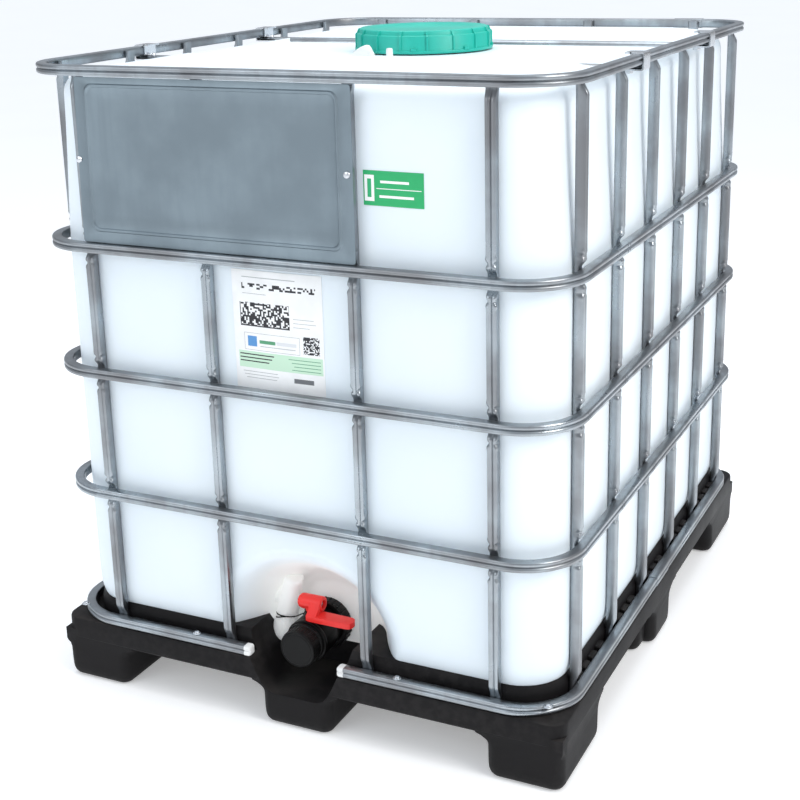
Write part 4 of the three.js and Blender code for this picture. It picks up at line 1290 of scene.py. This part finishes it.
def id_plate(steel, zinc):
    """A thin steel plate with a pressed bead just inside its edges."""
    front = -HALF_Y + 10.0 - 0.3 - 1.2
    bx, bz, bw, bh = (-357 + 123) / 2, (882.5 + 1127) / 2, 240.0, 122.25
    px, pz, pw, ph = (-380 + 148) / 2, (859.5 + 1141) / 2, 264.0, 140.75
    rings = []
    profile = [(-30.0, 0.0), (-3.6, 0.0), (-3.2, 0.2), (-2.4, 1.5), (-1.4, 2.3), (0.0, 2.5), (1.4, 2.3),
               (2.4, 1.5), (3.2, 0.2), (3.6, 0.0)]
    for offset, lift in profile:
        half_w, half_h = bw + offset, bh + offset
        rings.append((half_w, half_h, 14.0 + offset * 0.35 if offset > -20 else 5.0, -lift, bx, bz))
    rings.append((pw - 0.4, ph - 0.4, 4.0, 0.0, px, pz))
    rings.append((pw, ph, 4.4, 0.4, px, pz))
    rings.append((pw, ph, 4.4, 1.2, px, pz))
    made = []
    for half_w, half_h, corner, lift, cx, cz in rings:
        unit = outline(half_w, half_h, corner, 8, 1e9)
        made.append([(cx + x + (PLATE_LEAN * (cz + z - PLATE_FOOT) if x < 0 else 0.0), front + lift, cz + z)
                     for x, z, _, _ in unit])
    plate = loft(made, cap_start=True, cap_end=True)
    piece("plate_sheet", *plate, steel, nodes=["id_plate"], slot="plate_steel", smooth=40)
    head = turned([(0, 0), (5.6, 0), (6, 0.7), (5.2, 2.0), (3, 2.9), (0, 3.2)], 28, (0, 0, 0), "y")
    for x, word in ((-375.0, "left"), (138.0, "right")):
        placed = [(vx + x, vy + front - 0.2, vz + 1002.0) for vx, vy, vz in head[0]]
        piece(f"plate_screw_{word}_head", placed, head[1], zinc, nodes=[f"plate_screw_{word}"],
              slot="zinc_fittings")


def wall_label(name, left, right, low, high, material, node, slot):
    """A label that lies on the bottle's front wall and follows it."""
    cols, rows = 24, 24
    front_rows = []
    for j in range(rows + 1):
        z = low + (high - low) * j / rows
        front_rows.append([(left + (right - left) * i / cols, z) for i in range(cols + 1)])
    verts, faces = [], []
    for lift in (0.75, 0.15):
        for row in front_rows:
            verts += [(x, front_wall(x, z) - lift, z) for x, z in row]
    stride = cols + 1
    layer = stride * (rows + 1)
    for j in range(rows):
        for i in range(cols):
            a = j * stride + i
            faces.append((a, a + 1, a + stride + 1, a + stride))
            faces.append((a + layer, a + stride + layer, a + stride + 1 + layer, a + 1 + layer))
    rim = [i for i in range(cols + 1)] + [j * stride + cols for j in range(1, rows + 1)]
    rim += [rows * stride + i for i in range(cols - 1, -1, -1)] + [j * stride for j in range(rows - 1, 0, -1)]
    for a, b in zip(rim, rim[1:] + rim[:1]):
        faces.append((a, a + layer, b + layer, b))
    piece(name, verts, faces, material, nodes=[node], slot=slot, smooth=30)


def label_materials():
    white = (0.95, 0.95, 0.94)
    green = [((158, 175, 960, 1001), white, 0), ((163, 170, 966, 995), (0.02, 0.42, 0.16), 0),
             ((179, 257, 979.6, 980.8), white, 0), ((186, 236, 989, 993), white, 0), ((184, 244, 966, 970),
                                                                                      white, 0)]
    ink, pale_green, blue = (0.02, 0.02, 0.025), (0.58, 0.80, 0.62), (0.10, 0.30, 0.62)
    grey, leaf = (0.42, 0.43, 0.44), (0.10, 0.34, 0.18)
    paper = [((-76, 26, 818.4, 819.8), grey, 0), ((-77, 63, 799, 808.8), ink, 3.4),
             ((-76, -30, 790.6, 791.6), grey, 0),
             ((-81, 13, 737, 776), ink, 3.1), ((-81, 13, 734.8, 737), ink, 0), ((-82.4, -81, 734.8, 776),
                                                                                ink, 0),
             ((20, 58, 754, 755), grey, 0), ((20, 62, 747, 748), grey, 0), ((20, 50, 740, 741), grey, 0),
             ((-76, 30, 722.6, 723.4), grey, 0), ((-76, 30, 693.4, 694.2), grey, 0),
             ((-76.6, -75.8, 693.4, 723.4), grey, 0),
             ((29.6, 30.4, 693.4, 723.4), grey, 0), ((-70, -52, 700, 718), blue, 0), ((-47, -16, 706, 712),
                                                                                      leaf, 0),
             ((-14, 24, 706, 712), (0.72, 0.74, 0.76), 0), ((-46, 22, 700.5, 701.8), grey, 0),
             ((37, 67, 696, 726), ink, 2.0), ((-89, 72, 662, 691), pale_green, 0),
             ((-87, -20, 684.5, 686.5), ink, 0), ((-87, -24, 678.5, 680.5), ink, 0),
             ((-87, -30, 672.5, 674.5), ink, 0),
             ((8, 68, 684, 685.2), leaf, 0), ((14, 68, 678, 679.2), leaf, 0), ((18, 68, 672, 673.2), leaf, 0),
             ((14, 68, 666, 667.2), leaf, 0), ((-82, -14, 655, 656), grey, 0), ((-80, -12, 649.6, 650.6),
                                                                                grey, 0),
             ((-76, -16, 644.2, 645.2), grey, 0), ((17, 54, 644, 652), (0.16, 0.17, 0.18), 0)]
    return (printed("green_label_print", (0.016, 0.42, 0.14), green, 0.42),
            printed("paper_label_print", (0.93, 0.94, 0.94), paper, 0.6))


# ---------------------------------------------------------------- floor

def floor():
    size = 60.0
    mesh = bpy.data.meshes.new("floor")
    cells = 4
    verts = [(-size + 2 * size * i / cells, -size + 2 * size * j / cells,
              0.0) for j in range(cells + 1) for i in range(cells + 1)]
    faces = []
    for j in range(cells):
        for i in range(cells):
            a = j * (cells + 1) + i
            faces.append((a, a + 1, a + cells + 2, a + cells + 1))
    mesh.from_pydata(verts, [], faces)
    material, tree, shader, place = new_material("studio_floor", 0.7)
    base = place_group(tree, "mottle", Place=place, Light_Tone=(0.97, 0.97, 0.97),
                       Dark_Tone=(0.95, 0.95, 0.95),
                       Cloud_Scale=1.2, Grain_Scale=60.0)
    tree.links.new(base.outputs["Color"], shader.inputs["Base Color"])
    shader.inputs["Emission Color"].default_value = (1.0, 1.0, 1.0, 1.0)
    shader.inputs["Emission Strength"].default_value = 0.30
    mesh.materials.append(material)
    obj = bpy.data.objects.new("floor", mesh)
    bpy.context.scene.collection.objects.link(obj)


# ---------------------------------------------------------------- build

def build():
    set_camera()
    set_light()
    GROUPS["mottle"] = make_mottle_group()
    GROUPS["settled_dust"] = make_dust_group()
    GROUPS["edge_wear"] = make_wear_group()
    floor()
    steel = galvanised("galvanised_tube", (0.39, 0.43, 0.46), (0.24, 0.245, 0.255))
    plate = galvanised("rolled_plate", (0.25, 0.305, 0.34), (0.205, 0.25, 0.28), 0.34, 0.48)
    zinc = galvanised("zinc_plating", (0.72, 0.74, 0.77), (0.56, 0.58, 0.60), 0.2, 0.34)
    milky = bottle_material()
    black = moulded("pallet_plastic", (0.006, 0.0055, 0.006), (0.009, 0.008, 0.0085), 0.46, 0.64, 380.0,
                    0.3, 0.05, 0.18,
                    (0.045, 0.04, 0.04), 0.16)
    fine_black = moulded("valve_plastic", (0.0028, 0.0028, 0.003), (0.0045, 0.0045, 0.0045), 0.28, 0.38,
                         600.0, 0.12, gloss=0.16)
    turquoise = moulded("lid_plastic", (0.014, 0.49, 0.385), (0.010, 0.40, 0.315), 0.34, 0.48, 620.0, 0.12)
    red = moulded("handle_plastic", (0.98, 0.030, 0.024), (0.88, 0.024, 0.020), 0.32, 0.46, 620.0, 0.12)
    white = moulded("white_plastic", (0.88, 0.88, 0.87), (0.80, 0.80, 0.79), 0.36, 0.5, 600.0, 0.12)
    rubber = moulded("seal_rubber", (0.020, 0.020, 0.020), (0.030, 0.030, 0.030), 0.6, 0.8, 500.0, 0.3)
    green_print, paper_print = label_materials()
    pallet(black)
    castellations(black)
    bottle_shell(milky)
    moulded_spout(milky)
    lid(turquoise, rubber, white)
    hoops(steel, white)
    rail_sleeves(steel)
    cage_posts(steel)
    weld_marks(steel)
    hoop_screws(zinc)
    cross_tubes(steel, zinc)
    union_nut(fine_black)
    valve_body(fine_black)
    disc_and_stem(white)
    handle(red, zinc)
    dust_cap(fine_black, rubber)
    neck_tie(fine_black)
    id_plate(plate, zinc)
    wall_label("green_label_film", 156, 261, 953, 1008, green_print, "label_green", "green_label")
    wall_label("paper_label_sheet", -96, 75, 626, 831, paper_print, "label_paper", "paper_label")


build()
